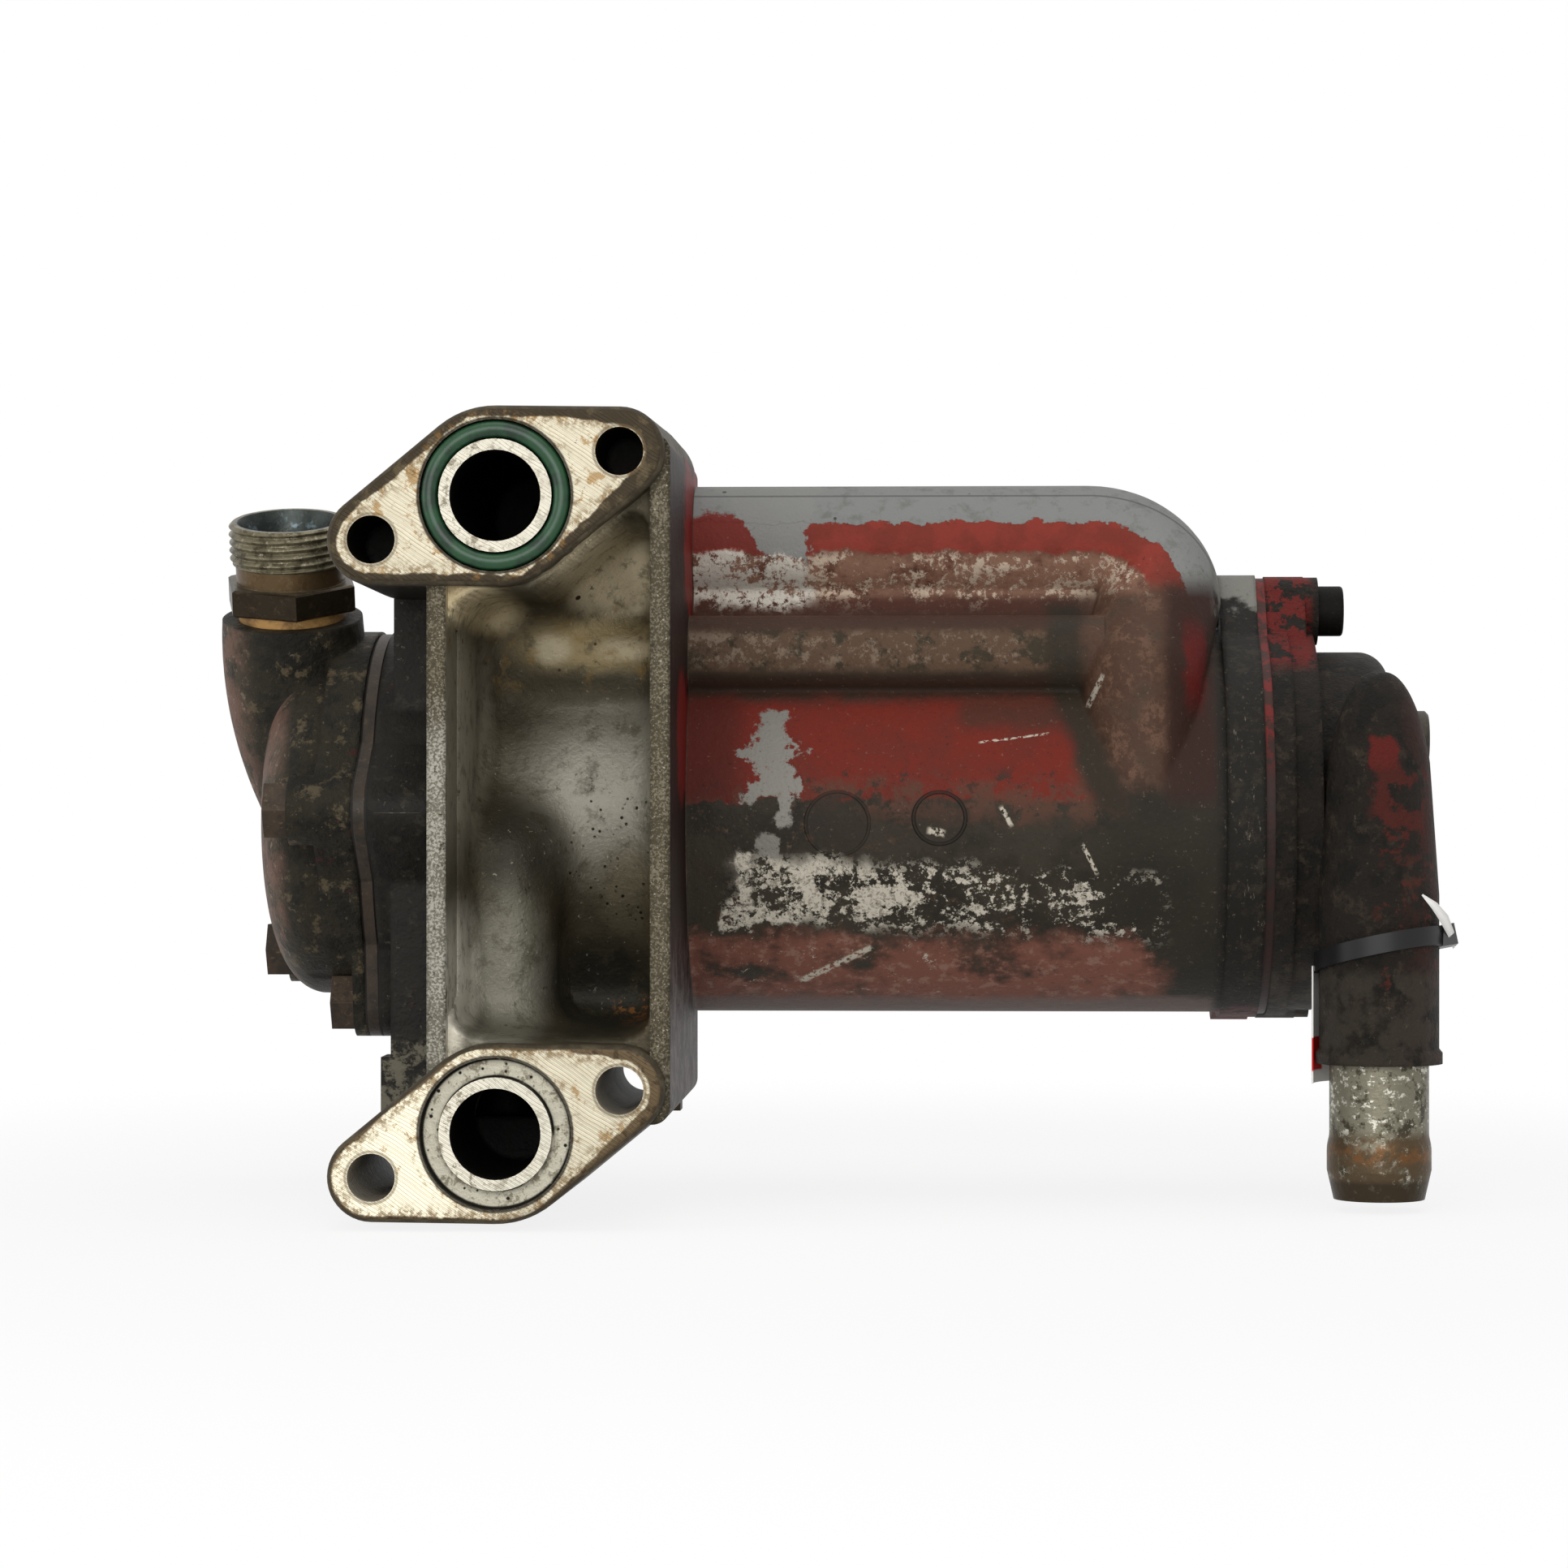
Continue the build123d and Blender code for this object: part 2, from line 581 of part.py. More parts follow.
def left_dome(offset):
    """The domed end of the left cover, or its hollow when an offset is taken off.

    The pulls are curve handles: millimetres in from the end, and a share of the rim radius.
    """
    rim = LEFT_DOME_RADIUS - offset
    end = LEFT_DOME_END + offset
    start = LEFT_COVER_FACE
    knee = (LEFT_COVER_FLANGE_BACK - LEFT_DOME_SHOULDER, rim * LEFT_DOME_KNEE_SHARE)
    flat = rim * LEFT_DOME_FLAT_SHARE
    handles = [(end + inset, rim * share) for inset, share in (LEFT_DOME_SHOULDER_PULL, LEFT_DOME_CROWN_PULL)]
    profile = [
        Line((start, 0), (start, rim)),
        Line((start, rim), knee),
        Bezier(knee, *handles, (end, flat)),
        Line((end, flat), (end, 0)),
        Line((end, 0), (start, 0)),
    ]
    section = Plane(origin=(0, AXIS_BACK, AXIS_HEIGHT), x_dir=(1, 0, 0), z_dir=(0, -1, 0))
    return revolve(section * make_face(profile), Axis((0, AXIS_BACK, AXIS_HEIGHT), (1, 0, 0)))


def pipe_boss():
    """Tapered boss that leads the coolant pipe down into the left cover."""
    top = pipe_plane(PIPE_BOSS_TOP) * Circle(PIPE_BOSS_RADIUS)
    middle = pipe_plane(PIPE_BOSS_TOP / 2, PIPE_BOSS_MIDDLE_X) * Circle(PIPE_BOSS_RADIUS)
    root = pipe_plane(0, PIPE_BOSS_ROOT_X) * Circle(PIPE_BOSS_ROOT_RADIUS)
    return loft([root, middle, top])


def left_seat(name):
    """The plane a left cover bolt's head sits on."""
    return LEFT_COVER_FLANGE_BACK - LEFT_SEAT_HEIGHTS[name]


def left_cover_boss(name, angle):
    """The lug of one cover bolt, with the round boss that carries its seat."""
    lug_back = max(left_seat(name), LEFT_COVER_FLANGE_BACK)
    hub = COVER_RIM_RADIUS - LUG_HUB_INSET
    lugs = cover_lugs(lug_back, LEFT_COVER_FACE, [angle], LEFT_BOLT_CIRCLE, LEFT_LUG_RADIUS, hub)
    start = point_round_shell(LEFT_COVER_FACE - 1, angle, LEFT_BOLT_CIRCLE)
    end = point_round_shell(left_seat(name), angle, LEFT_BOLT_CIRCLE)
    return lugs[0] + rod(LEFT_LUG_RADIUS, start, end)


def make_left_cover():
    cover = along_shell(COVER_RIM_RADIUS, LEFT_COVER_FLANGE_BACK, LEFT_COVER_FACE)
    cover += left_dome(0)
    for name, angle in LEFT_BOLT_ANGLES.items():
        cover += left_cover_boss(name, angle)
    cover += pipe_boss()
    cover -= left_dome(COVER_WALL)
    bore_start = pipe_point(PIPE_BORE_START, PIPE_BOSS_ROOT_X)
    cover -= rod(PIPE_BORE_RADIUS, bore_start, pipe_point(PIPE_BOSS_TOP + 1))
    cover -= rod(UNION_SHANK_RADIUS + THREAD_CLEARANCE, pipe_point(PIPE_BOSS_TOP - UNION_SHANK_LENGTH),
                 pipe_point(PIPE_BOSS_TOP + 1))
    for name, angle in LEFT_BOLT_ANGLES.items():
        start = point_round_shell(LEFT_COVER_FACE + 1, angle, LEFT_BOLT_CIRCLE)
        end = point_round_shell(LEFT_DOME_END - CUT_OVERRUN, angle, LEFT_BOLT_CIRCLE)
        seat = point_round_shell(left_seat(name), angle, LEFT_BOLT_CIRCLE)
        cover -= rod(BOLT_RADIUS + BOLT_HOLE_CLEARANCE, start, end)
        cover -= rod(SPOT_FACE_RADIUS, seat, end)
    return cover


def make_left_ring(left, right, radius):
    """A flat ring in the left joint, with a hole for each cover bolt's lug to pass."""
    ring = along_shell(radius, left, right) - along_shell(TUBE_SHEET_RADIUS, left - 1, right + 1)
    for lug in cover_lugs(
        left, right, LEFT_BOLT_ANGLES.values(), LEFT_BOLT_CIRCLE, LEFT_LUG_RADIUS, radius - LUG_HUB_INSET,
    ):
        ring += lug - along_shell(TUBE_SHEET_RADIUS, left - 1, right + 1)
    for angle in LEFT_BOLT_ANGLES.values():
        start = point_round_shell(left - 1, angle, LEFT_BOLT_CIRCLE)
        end = point_round_shell(right + 1, angle, LEFT_BOLT_CIRCLE)
        ring -= rod(BOLT_RADIUS + BOLT_HOLE_CLEARANCE, start, end)
    return ring


def right_drum(offset):
    """The drum of the right cover, or its hollow when an offset is taken off."""
    rim = RIGHT_DRUM_RADIUS - offset
    start, end = RIGHT_COVER_FACE, RIGHT_DRUM_END - offset
    drum = along_shell(rim, start, end)
    return fillet(drum.edges().group_by(Axis.X)[-1], RIGHT_DRUM_ROUND)


def hose_elbow():
    """Upright leg of the hose elbow, with its rounded crown and its sleeve with a lip."""
    shoulder = ELBOW_TOP - ELBOW_CROWN_DROP
    lip_top = SLEEVE_END + SLEEVE_LIP_HEIGHT
    neck, sleeve, lip = ELBOW_NECK_RADIUS, SLEEVE_RADIUS, SLEEVE_LIP_RADIUS
    profile = [
        Line((0, ELBOW_TOP), (ELBOW_CROWN_TIP, ELBOW_TOP)),
        Bezier((ELBOW_CROWN_TIP, ELBOW_TOP), (ELBOW_CROWN_PULL, ELBOW_TOP),
               (ELBOW_CROWN_SIDE[0], ELBOW_TOP - ELBOW_CROWN_SIDE[1]), (neck, shoulder)),
        Line((neck, shoulder), (sleeve, SLEEVE_TOP)),
        Line((sleeve, SLEEVE_TOP), (sleeve, lip_top + 1)),
        Line((sleeve, lip_top + 1), (lip, lip_top)),
        Line((lip, lip_top), (lip, SLEEVE_END)),
        Line((lip, SLEEVE_END), (0, SLEEVE_END)),
        Line((0, SLEEVE_END), (0, ELBOW_TOP)),
    ]
    section = Plane(origin=(HOSE_X, HOSE_BACK, 0), x_dir=(1, 0, 0), z_dir=(0, -1, 0))
    leg = revolve(section * make_face(profile), Axis((HOSE_X, HOSE_BACK, 0), (0, 0, 1)))
    foot = (HOSE_X - BRIDGE_SIDE, HOSE_BACK + BRIDGE_REACH)
    outline = belt((HOSE_X, HOSE_BACK), BRIDGE_RADIUS, foot, BRIDGE_RADIUS - 1)
    bridge = extrude(Plane.XY.offset(BRIDGE_BOTTOM) * outline, BRIDGE_TOP - BRIDGE_BOTTOM)
    bridge = fillet(bridge.edges().group_by(Axis.Z)[-1], BRIDGE_ROUND)
    return leg + bridge


def plug_point(x):
    return (x, AXIS_BACK + PLUG_BACK, AXIS_HEIGHT + PLUG_HEIGHT)


def make_right_cover():
    cover = along_shell(RIGHT_RIM_RADIUS, RIGHT_COVER_FACE, RIGHT_COVER_FLANGE_BACK)
    for lug in cover_lugs(
        RIGHT_COVER_FACE, RIGHT_COVER_FACE + RIGHT_COVER_LUG_THICKNESS, RIGHT_BOLT_ANGLES.values(),
        RIGHT_BOLT_CIRCLE, RIGHT_LUG_RADIUS - COVER_LUG_STEP, RIGHT_RIM_RADIUS - RIGHT_LUG_HUB_INSET,
    ):
        cover += lug
    bore_end = floating_sheet_right() + SHEET_END_ROOM
    cover += along_shell(SHELL_BORE_RADIUS + COVER_WALL, RIGHT_COVER_FACE, bore_end + COVER_WALL)
    cover += right_drum(0)
    for angle in RIGHT_BOLT_ANGLES.values():
        start = point_round_shell(RIGHT_COVER_FACE + 1, angle, RIGHT_BOLT_CIRCLE)
        end = point_round_shell(RIGHT_BOSS_END, angle, RIGHT_BOLT_CIRCLE)
        cover += rod(RIGHT_BOSS_RADIUS, start, end)
    cover += hose_elbow()
    cover += rod(PLUG_BOSS_RADIUS, plug_point(RIGHT_DRUM_END - COVER_WALL), plug_point(PLUG_BOSS_END))
    cover -= right_drum(COVER_WALL)
    crown = (HOSE_X, HOSE_BACK, ELBOW_BORE_TOP)
    seat = (HOSE_X, HOSE_BACK, SPIGOT_SEAT)
    cover -= ball(ELBOW_BORE_RADIUS, crown) + rod(ELBOW_BORE_RADIUS, crown, seat)
    cover -= rod(SPIGOT_RADIUS + PRESS_CLEARANCE, seat, (HOSE_X, HOSE_BACK, SLEEVE_END - 1))
    cover -= along_shell(SHELL_BORE_RADIUS, RIGHT_COVER_FACE - 1, bore_end)
    cover -= rod(PLUG_SHANK_RADIUS + THREAD_CLEARANCE, plug_point(PLUG_BOSS_END - PLUG_SHANK_LENGTH - 1),
                 plug_point(PLUG_BOSS_END + 1))
    for angle in RIGHT_BOLT_ANGLES.values():
        seat = point_round_shell(RIGHT_BOSS_END, angle, RIGHT_BOLT_CIRCLE)
        start = point_round_shell(RIGHT_COVER_FACE - 1, angle, RIGHT_BOLT_CIRCLE)
        end = point_round_shell(RIGHT_BOSS_END + CUT_OVERRUN, angle, RIGHT_BOLT_CIRCLE)
        cover -= rod(BOLT_RADIUS + BOLT_HOLE_CLEARANCE, start, end)
        cover -= rod(SPOT_FACE_RADIUS, seat, end)
    return cover


def make_lantern_ring():
    left, right = SHELL_RIGHT, RIGHT_COVER_FACE
    ring = along_shell(LANTERN_RING_RADIUS, left, right)
    for lug in cover_lugs(
        left, right, RIGHT_BOLT_ANGLES.values(), RIGHT_BOLT_CIRCLE,
        RIGHT_LUG_RADIUS - 2 * COVER_LUG_STEP, LANTERN_RING_RADIUS - LUG_HUB_INSET,
    ):
        ring += lug
    ring -= along_shell(SHELL_BORE_RADIUS, left - 1, right + 1)
    for angle in RIGHT_BOLT_ANGLES.values():
        start = point_round_shell(left - 1, angle, RIGHT_BOLT_CIRCLE)
        end = point_round_shell(right + 1, angle, RIGHT_BOLT_CIRCLE)
        ring -= rod(BOLT_RADIUS + BOLT_HOLE_CLEARANCE, start, end)
    return ring


def make_hex_bolt(head_x, tip_x, angle):
    """Hexagon head cover bolt, screwed in along +X."""
    section = shell_section(head_x - HEX_HEIGHT) * Pos(*round_shell(angle, LEFT_BOLT_CIRCLE))
    hexagon = section * RegularPolygon(HEX_ACROSS_FLATS / 2, 6, major_radius=False)
    head = extrude(hexagon, -HEX_HEIGHT)
    start = point_round_shell(head_x - 1, angle, LEFT_BOLT_CIRCLE)
    return head + rod(BOLT_RADIUS, start, point_round_shell(tip_x, angle, LEFT_BOLT_CIRCLE))


def make_socket_bolt(head_x, tip_x, angle):
    """Socket head cover bolt, screwed in along -X."""
    under = point_round_shell(head_x, angle, RIGHT_BOLT_CIRCLE)
    crown = point_round_shell(head_x + SOCKET_HEAD_HEIGHT, angle, RIGHT_BOLT_CIRCLE)
    head = rod(SOCKET_HEAD_RADIUS, under, crown)
    head = fillet(head.edges().group_by(Axis.X)[-1], HEAD_EDGE)
    section = shell_section(head_x + SOCKET_HEAD_HEIGHT) * Pos(*round_shell(angle, RIGHT_BOLT_CIRCLE))
    socket = extrude(section * RegularPolygon(SOCKET_ACROSS_FLATS / 2, 6, major_radius=False), SOCKET_DEPTH)
    start = point_round_shell(head_x + 1, angle, RIGHT_BOLT_CIRCLE)
    shank = rod(BOLT_RADIUS, start, point_round_shell(tip_x, angle, RIGHT_BOLT_CIRCLE))
    return head - socket + shank


def make_union_fitting():
    """Straight threaded union with a coned mouth, hexagon and shank."""
    base = PIPE_BOSS_TOP + WASHER_THICKNESS
    hexagon = RegularPolygon(UNION_HEX_ACROSS_FLATS / 2, 6, major_radius=False)
    body = extrude(pipe_plane(base) * Rot(0, 0, UNION_HEX_TURN) * hexagon, UNION_HEX_HEIGHT)
    neck_end = base + UNION_HEX_HEIGHT + UNION_NECK_HEIGHT
    rim = neck_end + UNION_THREAD_LENGTH
    body += rod(UNION_NECK_RADIUS, pipe_point(base + UNION_HEX_HEIGHT - 1), pipe_point(neck_end + 1))
    body += rod(UNION_THREAD_RADIUS, pipe_point(neck_end), pipe_point(rim))
    body += rod(UNION_SHANK_RADIUS, pipe_point(base + 1), pipe_point(base - UNION_SHANK_LENGTH))
    body -= rod(UNION_BORE_RADIUS, pipe_point(base - UNION_SHANK_LENGTH - 1), pipe_point(rim + 1))
    mouth = pipe_plane(rim - UNION_CONE_DEPTH) * Cone(
        UNION_BORE_RADIUS, UNION_MOUTH_RADIUS, UNION_CONE_DEPTH,
        align=(Align.CENTER, Align.CENTER, Align.MIN),
    )
    return body - mouth


def make_union_washer():
    ring = rod(WASHER_RADIUS, pipe_point(PIPE_BOSS_TOP), pipe_point(PIPE_BOSS_TOP + WASHER_THICKNESS))
    hole = rod(UNION_SHANK_RADIUS + WASHER_CLEARANCE, pipe_point(PIPE_BOSS_TOP - 1),
               pipe_point(PIPE_BOSS_TOP + WASHER_THICKNESS + 1))
    return ring - hole


def make_hose_spigot():
    """Steel tube with a rolled bead near its open end."""
    end, seat = SPIGOT_END, SPIGOT_SEAT
    bead_top = end + SPIGOT_BEAD_START
    bead_low = bead_top - SPIGOT_BEAD_LENGTH
    shoulder, bead_pull = bead_top - SPIGOT_BEAD_SHOULDER, bead_top - SPIGOT_BEAD_PULL
    inner = SPIGOT_RADIUS - SPIGOT_WALL
    profile = [
        Line((inner, seat), (SPIGOT_RADIUS, seat)),
        Line((SPIGOT_RADIUS, seat), (SPIGOT_RADIUS, bead_top)),
        Bezier((SPIGOT_RADIUS, bead_top), (SPIGOT_RADIUS, bead_pull), (SPIGOT_BEAD_RADIUS, bead_pull),
               (SPIGOT_BEAD_RADIUS, shoulder)),
        Line((SPIGOT_BEAD_RADIUS, shoulder), (SPIGOT_BEAD_RADIUS, bead_low)),
        Line((SPIGOT_BEAD_RADIUS, bead_low), (SPIGOT_RADIUS - SPIGOT_CHAMFER, end)),
        Line((SPIGOT_RADIUS - SPIGOT_CHAMFER, end), (inner, end)),
        Line((inner, end), (inner, seat)),
    ]
    section = Plane(origin=(HOSE_X, HOSE_BACK, 0), x_dir=(1, 0, 0), z_dir=(0, -1, 0))
    return revolve(section * make_face(profile), Axis((HOSE_X, HOSE_BACK, 0), (0, 0, 1)))


def make_screw_plug():
    seat = PLUG_BOSS_END + PLUG_WASHER_THICKNESS
    head = rod(PLUG_HEAD_RADIUS, plug_point(seat), plug_point(seat + PLUG_HEAD_HEIGHT))
    head = chamfer(head.edges().group_by(Axis.X)[-1], HEAD_EDGE)
    crown = Plane(origin=plug_point(seat + PLUG_HEAD_HEIGHT), x_dir=(0, -1, 0), z_dir=(-1, 0, 0))
    socket = extrude(crown * RegularPolygon(SOCKET_ACROSS_FLATS / 2, 6, major_radius=False), SOCKET_DEPTH)
    shank = rod(PLUG_SHANK_RADIUS, plug_point(PLUG_BOSS_END - PLUG_SHANK_LENGTH), plug_point(seat + 1))
    return head - socket + shank


def make_screw_plug_washer():
    start, end = plug_point(PLUG_BOSS_END), plug_point(PLUG_BOSS_END + PLUG_WASHER_THICKNESS)
    hole = rod(PLUG_SHANK_RADIUS + WASHER_CLEARANCE, plug_point(PLUG_BOSS_END - 1),
               plug_point(PLUG_BOSS_END + PLUG_WASHER_THICKNESS + 1))
    return rod(PLUG_WASHER_RADIUS, start, end) - hole


def make_port_o_ring():
    centre_radius = (GROOVE_INNER_RADIUS + GROOVE_OUTER_RADIUS) / 2
    y = GROOVE_DEPTH - O_RING_SECTION_RADIUS - O_RING_CLEARANCE
    return port_face(y) * Torus(centre_radius, O_RING_SECTION_RADIUS)


def tube_places():
    """Places of the tubes across the bundle, in hexagonal rings about the axis."""
    places = []
    for row in range(-TUBE_RINGS, TUBE_RINGS + 1):
        for column in range(-TUBE_RINGS, TUBE_RINGS + 1):
            if abs(row + column) <= TUBE_RINGS:
                across = TUBE_PITCH * (column + row / 2)
                places.append((across, TUBE_PITCH * row * math.sqrt(3) / 2))
    return places


def bundle_holes(x_left, x_right, clearance):
    outline = [Pos(*place) * Circle(TUBE_RADIUS + clearance) for place in tube_places()]
    return [extrude(shell_section(x_right) * circle, x_right - x_left) for circle in outline]


def tube_ends():
    left = SHEET_RIM_LEFT - TUBE_PROUD
    right = floating_sheet_right() + TUBE_PROUD
    return left, right


def make_cooler_tubes():
    left, right = tube_ends()
    ring = Circle(TUBE_RADIUS) - Circle(TUBE_RADIUS - TUBE_WALL)
    tubes = [extrude(shell_section(right) * Pos(*place) * ring, right - left) for place in tube_places()]
    return Compound(children=tubes)


def make_fixed_tube_sheet():
    """Tube sheet with a rim that is clamped in the left joint."""
    rim = make_left_ring(SHEET_RIM_LEFT, SHEET_RIM_RIGHT, SHEET_RIM_RADIUS)
    sheet = along_shell(TUBE_SHEET_RADIUS, SHEET_RIM_LEFT, SHEET_RIM_LEFT + FIXED_SHEET_THICKNESS)
    sheet += rim
    for hole in bundle_holes(SHEET_RIM_LEFT - 1, SHEET_RIM_LEFT + FIXED_SHEET_THICKNESS + 1, TUBE_FIT):
        sheet -= hole
    return sheet


def floating_sheet_right():
    return FLOATING_SHEET_LEFT + FLOATING_SHEET_THICKNESS


def seal_ring_radius():
    """The seal rings' centre line, so that they just reach the bores round them."""
    return SHELL_BORE_RADIUS - O_RING_CLEARANCE - SEAL_SECTION_RADIUS


def seal_places():
    return SHELL_RIGHT - SEAL_INSET, RIGHT_COVER_FACE + SEAL_INSET


def make_floating_tube_sheet():
    """Tube sheet that slides in the housing and the right cover on two seal rings."""
    left, right = FLOATING_SHEET_LEFT, floating_sheet_right()
    groove_floor = seal_ring_radius() - SEAL_SECTION_RADIUS - O_RING_CLEARANCE
    sheet = along_shell(TUBE_SHEET_RADIUS, left, right)
    for middle in seal_places():
        low, high = middle - SEAL_GROOVE_WIDTH / 2, middle + SEAL_GROOVE_WIDTH / 2
        core = along_shell(groove_floor, low - 1, high + 1)
        sheet -= along_shell(TUBE_SHEET_RADIUS + 1, low, high) - core
    for hole in bundle_holes(left - 1, right + 1, TUBE_FIT):
        sheet -= hole
    return sheet


def make_seal_ring(middle):
    return shell_section(middle) * Torus(seal_ring_radius(), SEAL_SECTION_RADIUS)


def tie_rod_place(index):
    return round_shell(90 + 360 / TIE_ROD_COUNT * index, TIE_ROD_CIRCLE)


def baffle_x(index):
    left = SHEET_RIM_LEFT + FIXED_SHEET_THICKNESS
    return left + (FLOATING_SHEET_LEFT - left) * (index + 1) / (BAFFLE_COUNT + 1)


def make_baffle(index):
    """A disc with one side cut away, so that the oil weaves across the tubes."""
    left = baffle_x(index) - BAFFLE_THICKNESS / 2
    right = left + BAFFLE_THICKNESS
    side = 1 if index % 2 == 0 else -1
    disc = Circle(BAFFLE_RADIUS)
    disc -= Pos(side * (BAFFLE_RADIUS + BAFFLE_CUT), 0) * Rectangle(2 * BAFFLE_RADIUS, 2 * BAFFLE_RADIUS)
    for place in tube_places():
        disc -= Pos(*place) * Circle(TUBE_RADIUS + BAFFLE_TUBE_CLEARANCE)
    for rod_index in range(TIE_ROD_COUNT):
        disc -= Pos(*tie_rod_place(rod_index)) * Circle(TIE_ROD_RADIUS + TIE_ROD_FIT)
    return extrude(shell_section(right) * disc, BAFFLE_THICKNESS)


def make_tie_rod(index):
    left = SHEET_RIM_LEFT + FIXED_SHEET_THICKNESS
    right = baffle_x(BAFFLE_COUNT - 1) + BAFFLE_THICKNESS
    place = tie_rod_place(index)
    return extrude(shell_section(right) * Pos(*place) * Circle(TIE_ROD_RADIUS), right - left)


def make_cable_tie():
    """A band that runs round the sleeve at a tilt, with its head at the right."""
    inner = SLEEVE_RADIUS + TIE_CLEARANCE
    plane = Plane(origin=(HOSE_X, HOSE_BACK, TIE_HEIGHT)).rotated((TIE_NOD, -TIE_ROLL, 0))
    slab = plane * Box(4 * inner, 4 * inner, TIE_WIDTH)
    low, high = (HOSE_X, HOSE_BACK, TIE_HEIGHT - inner), (HOSE_X, HOSE_BACK, TIE_HEIGHT + inner)
    sleeve = rod(inner, low, high)
    band = rod(inner + TIE_THICKNESS, low, high) & slab
    head = plane * Pos(inner + TIE_THICKNESS, -2, 0) * Box(*TIE_HEAD_SIZE)
    return band + head - sleeve


def make_paper_tag():
    """A paper strip bent round the back of the sleeve."""
    inner = SLEEVE_LIP_RADIUS + TAG_CLEARANCE
    ring = Circle(inner + TAG_THICKNESS) - Circle(inner)
    ring &= Pos(-TAG_SHIFT, inner / 2 + TAG_SHIFT) * Rectangle(2 * inner, inner + 2 * TAG_SHIFT)
    strip = extrude(Plane(origin=(HOSE_X, HOSE_BACK, TAG_BOTTOM)) * ring, TAG_TOP - TAG_BOTTOM)
    return strip


def build_nodes():
    nodes = {
        "housing": make_housing(),
        "left_cover": make_left_cover(),
        "right_cover": make_right_cover(),
        "left_cover_gasket": make_left_ring(LEFT_COVER_FACE, SHEET_RIM_LEFT, GASKET_RADIUS),
        "tube_sheet_gasket": make_left_ring(SHEET_RIM_RIGHT, SHELL_LEFT, GASKET_RADIUS),
        "fixed_tube_sheet": make_fixed_tube_sheet(),
        "floating_tube_sheet": make_floating_tube_sheet(),
        "lantern_ring": make_lantern_ring(),
        "cooler_tubes": make_cooler_tubes(),
        "union_fitting": make_union_fitting(),
        "union_washer": make_union_washer(),
        "hose_spigot": make_hose_spigot(),
        "screw_plug": make_screw_plug(),
        "screw_plug_washer": make_screw_plug_washer(),
        "upper_port_o_ring": make_port_o_ring(),
        "cable_tie": make_cable_tie(),
        "paper_tag": make_paper_tag(),
    }
    inner_seal, outer_seal = seal_places()
    nodes["inner_seal_ring"] = make_seal_ring(inner_seal)
    nodes["outer_seal_ring"] = make_seal_ring(outer_seal)
    for name, angle in LEFT_BOLT_ANGLES.items():
        tip_x = SHELL_LEFT + BOLT_GRIP - BOLT_TIP_CLEARANCE
        nodes[f"left_cover_bolt_{name}"] = make_hex_bolt(left_seat(name), tip_x, angle)
    for name, angle in RIGHT_BOLT_ANGLES.items():
        tip_x = SHELL_RIGHT - BOLT_GRIP + BOLT_TIP_CLEARANCE
        nodes[f"right_cover_bolt_{name}"] = make_socket_bolt(RIGHT_BOSS_END, tip_x, angle)
    for index in range(BAFFLE_COUNT):
        nodes[f"baffle_{index + 1}"] = make_baffle(index)
    for index in range(TIE_ROD_COUNT):
        nodes[f"tie_rod_{index + 1}"] = make_tie_rod(index)
    return nodes


os.makedirs("parts", exist_ok=True)
for node_name, solid in build_nodes().items():
    export_step(solid, f"parts/{node_name}.step")
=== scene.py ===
import json
import math

import bpy
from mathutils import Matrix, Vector


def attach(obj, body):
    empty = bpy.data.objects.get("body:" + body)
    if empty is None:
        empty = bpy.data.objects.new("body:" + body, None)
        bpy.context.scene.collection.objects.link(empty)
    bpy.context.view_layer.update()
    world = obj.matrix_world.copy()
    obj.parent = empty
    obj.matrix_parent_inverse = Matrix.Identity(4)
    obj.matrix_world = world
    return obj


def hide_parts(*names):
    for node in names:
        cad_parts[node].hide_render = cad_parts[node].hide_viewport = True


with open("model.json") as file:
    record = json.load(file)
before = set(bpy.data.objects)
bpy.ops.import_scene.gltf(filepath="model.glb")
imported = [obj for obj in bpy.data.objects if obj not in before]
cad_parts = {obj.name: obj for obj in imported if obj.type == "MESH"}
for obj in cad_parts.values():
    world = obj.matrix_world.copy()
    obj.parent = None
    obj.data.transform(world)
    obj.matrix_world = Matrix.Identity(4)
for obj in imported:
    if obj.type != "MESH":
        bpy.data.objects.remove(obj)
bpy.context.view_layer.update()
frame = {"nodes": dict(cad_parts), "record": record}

MM = 0.001
BEVEL_SAMPLES = 6

# Camera, in metres and photo pixels, but its sensor in millimetres, and the middle of the scene
PHOTO_SIZE = 1932
FOCAL_PIXELS = 5500
CAMERA_PLACE = (0.1086, -1.009, -0.0644)
CAMERA_YAW = math.atan(234 / FOCAL_PIXELS)
CAMERA_PITCH = math.atan(6 / FOCAL_PIXELS)
SENSOR_WIDTH = 36.0
CLIP_NEAR, CLIP_FAR = 0.05, 100
MIDDLE = (0.085, 0.05, -0.07)

# Studio, in metres and watts: each softbox has its place, its size and its power
FLOOR_HEIGHT = -0.1672
FLOOR_HALF_WIDTH = 40.0
FLOOR_SHADOW_NEAR, FLOOR_SHADOW_FAR = 0.2, 0.5
FLOOR_GLOW, FLOOR_GREY = 0.85, 0.9
WORLD_LIGHT = 0.25
SOFTBOXES = (
    ("front_box", (0.0, -1.5, 0.35), (1.3, 0.9), 15.5),
    ("top_box", (0.2, 0.0, 1.2), (1.4, 1.0), 7),
    ("left_box", (-1.3, -0.4, 0.3), (0.8, 1.0), 4.5),
)

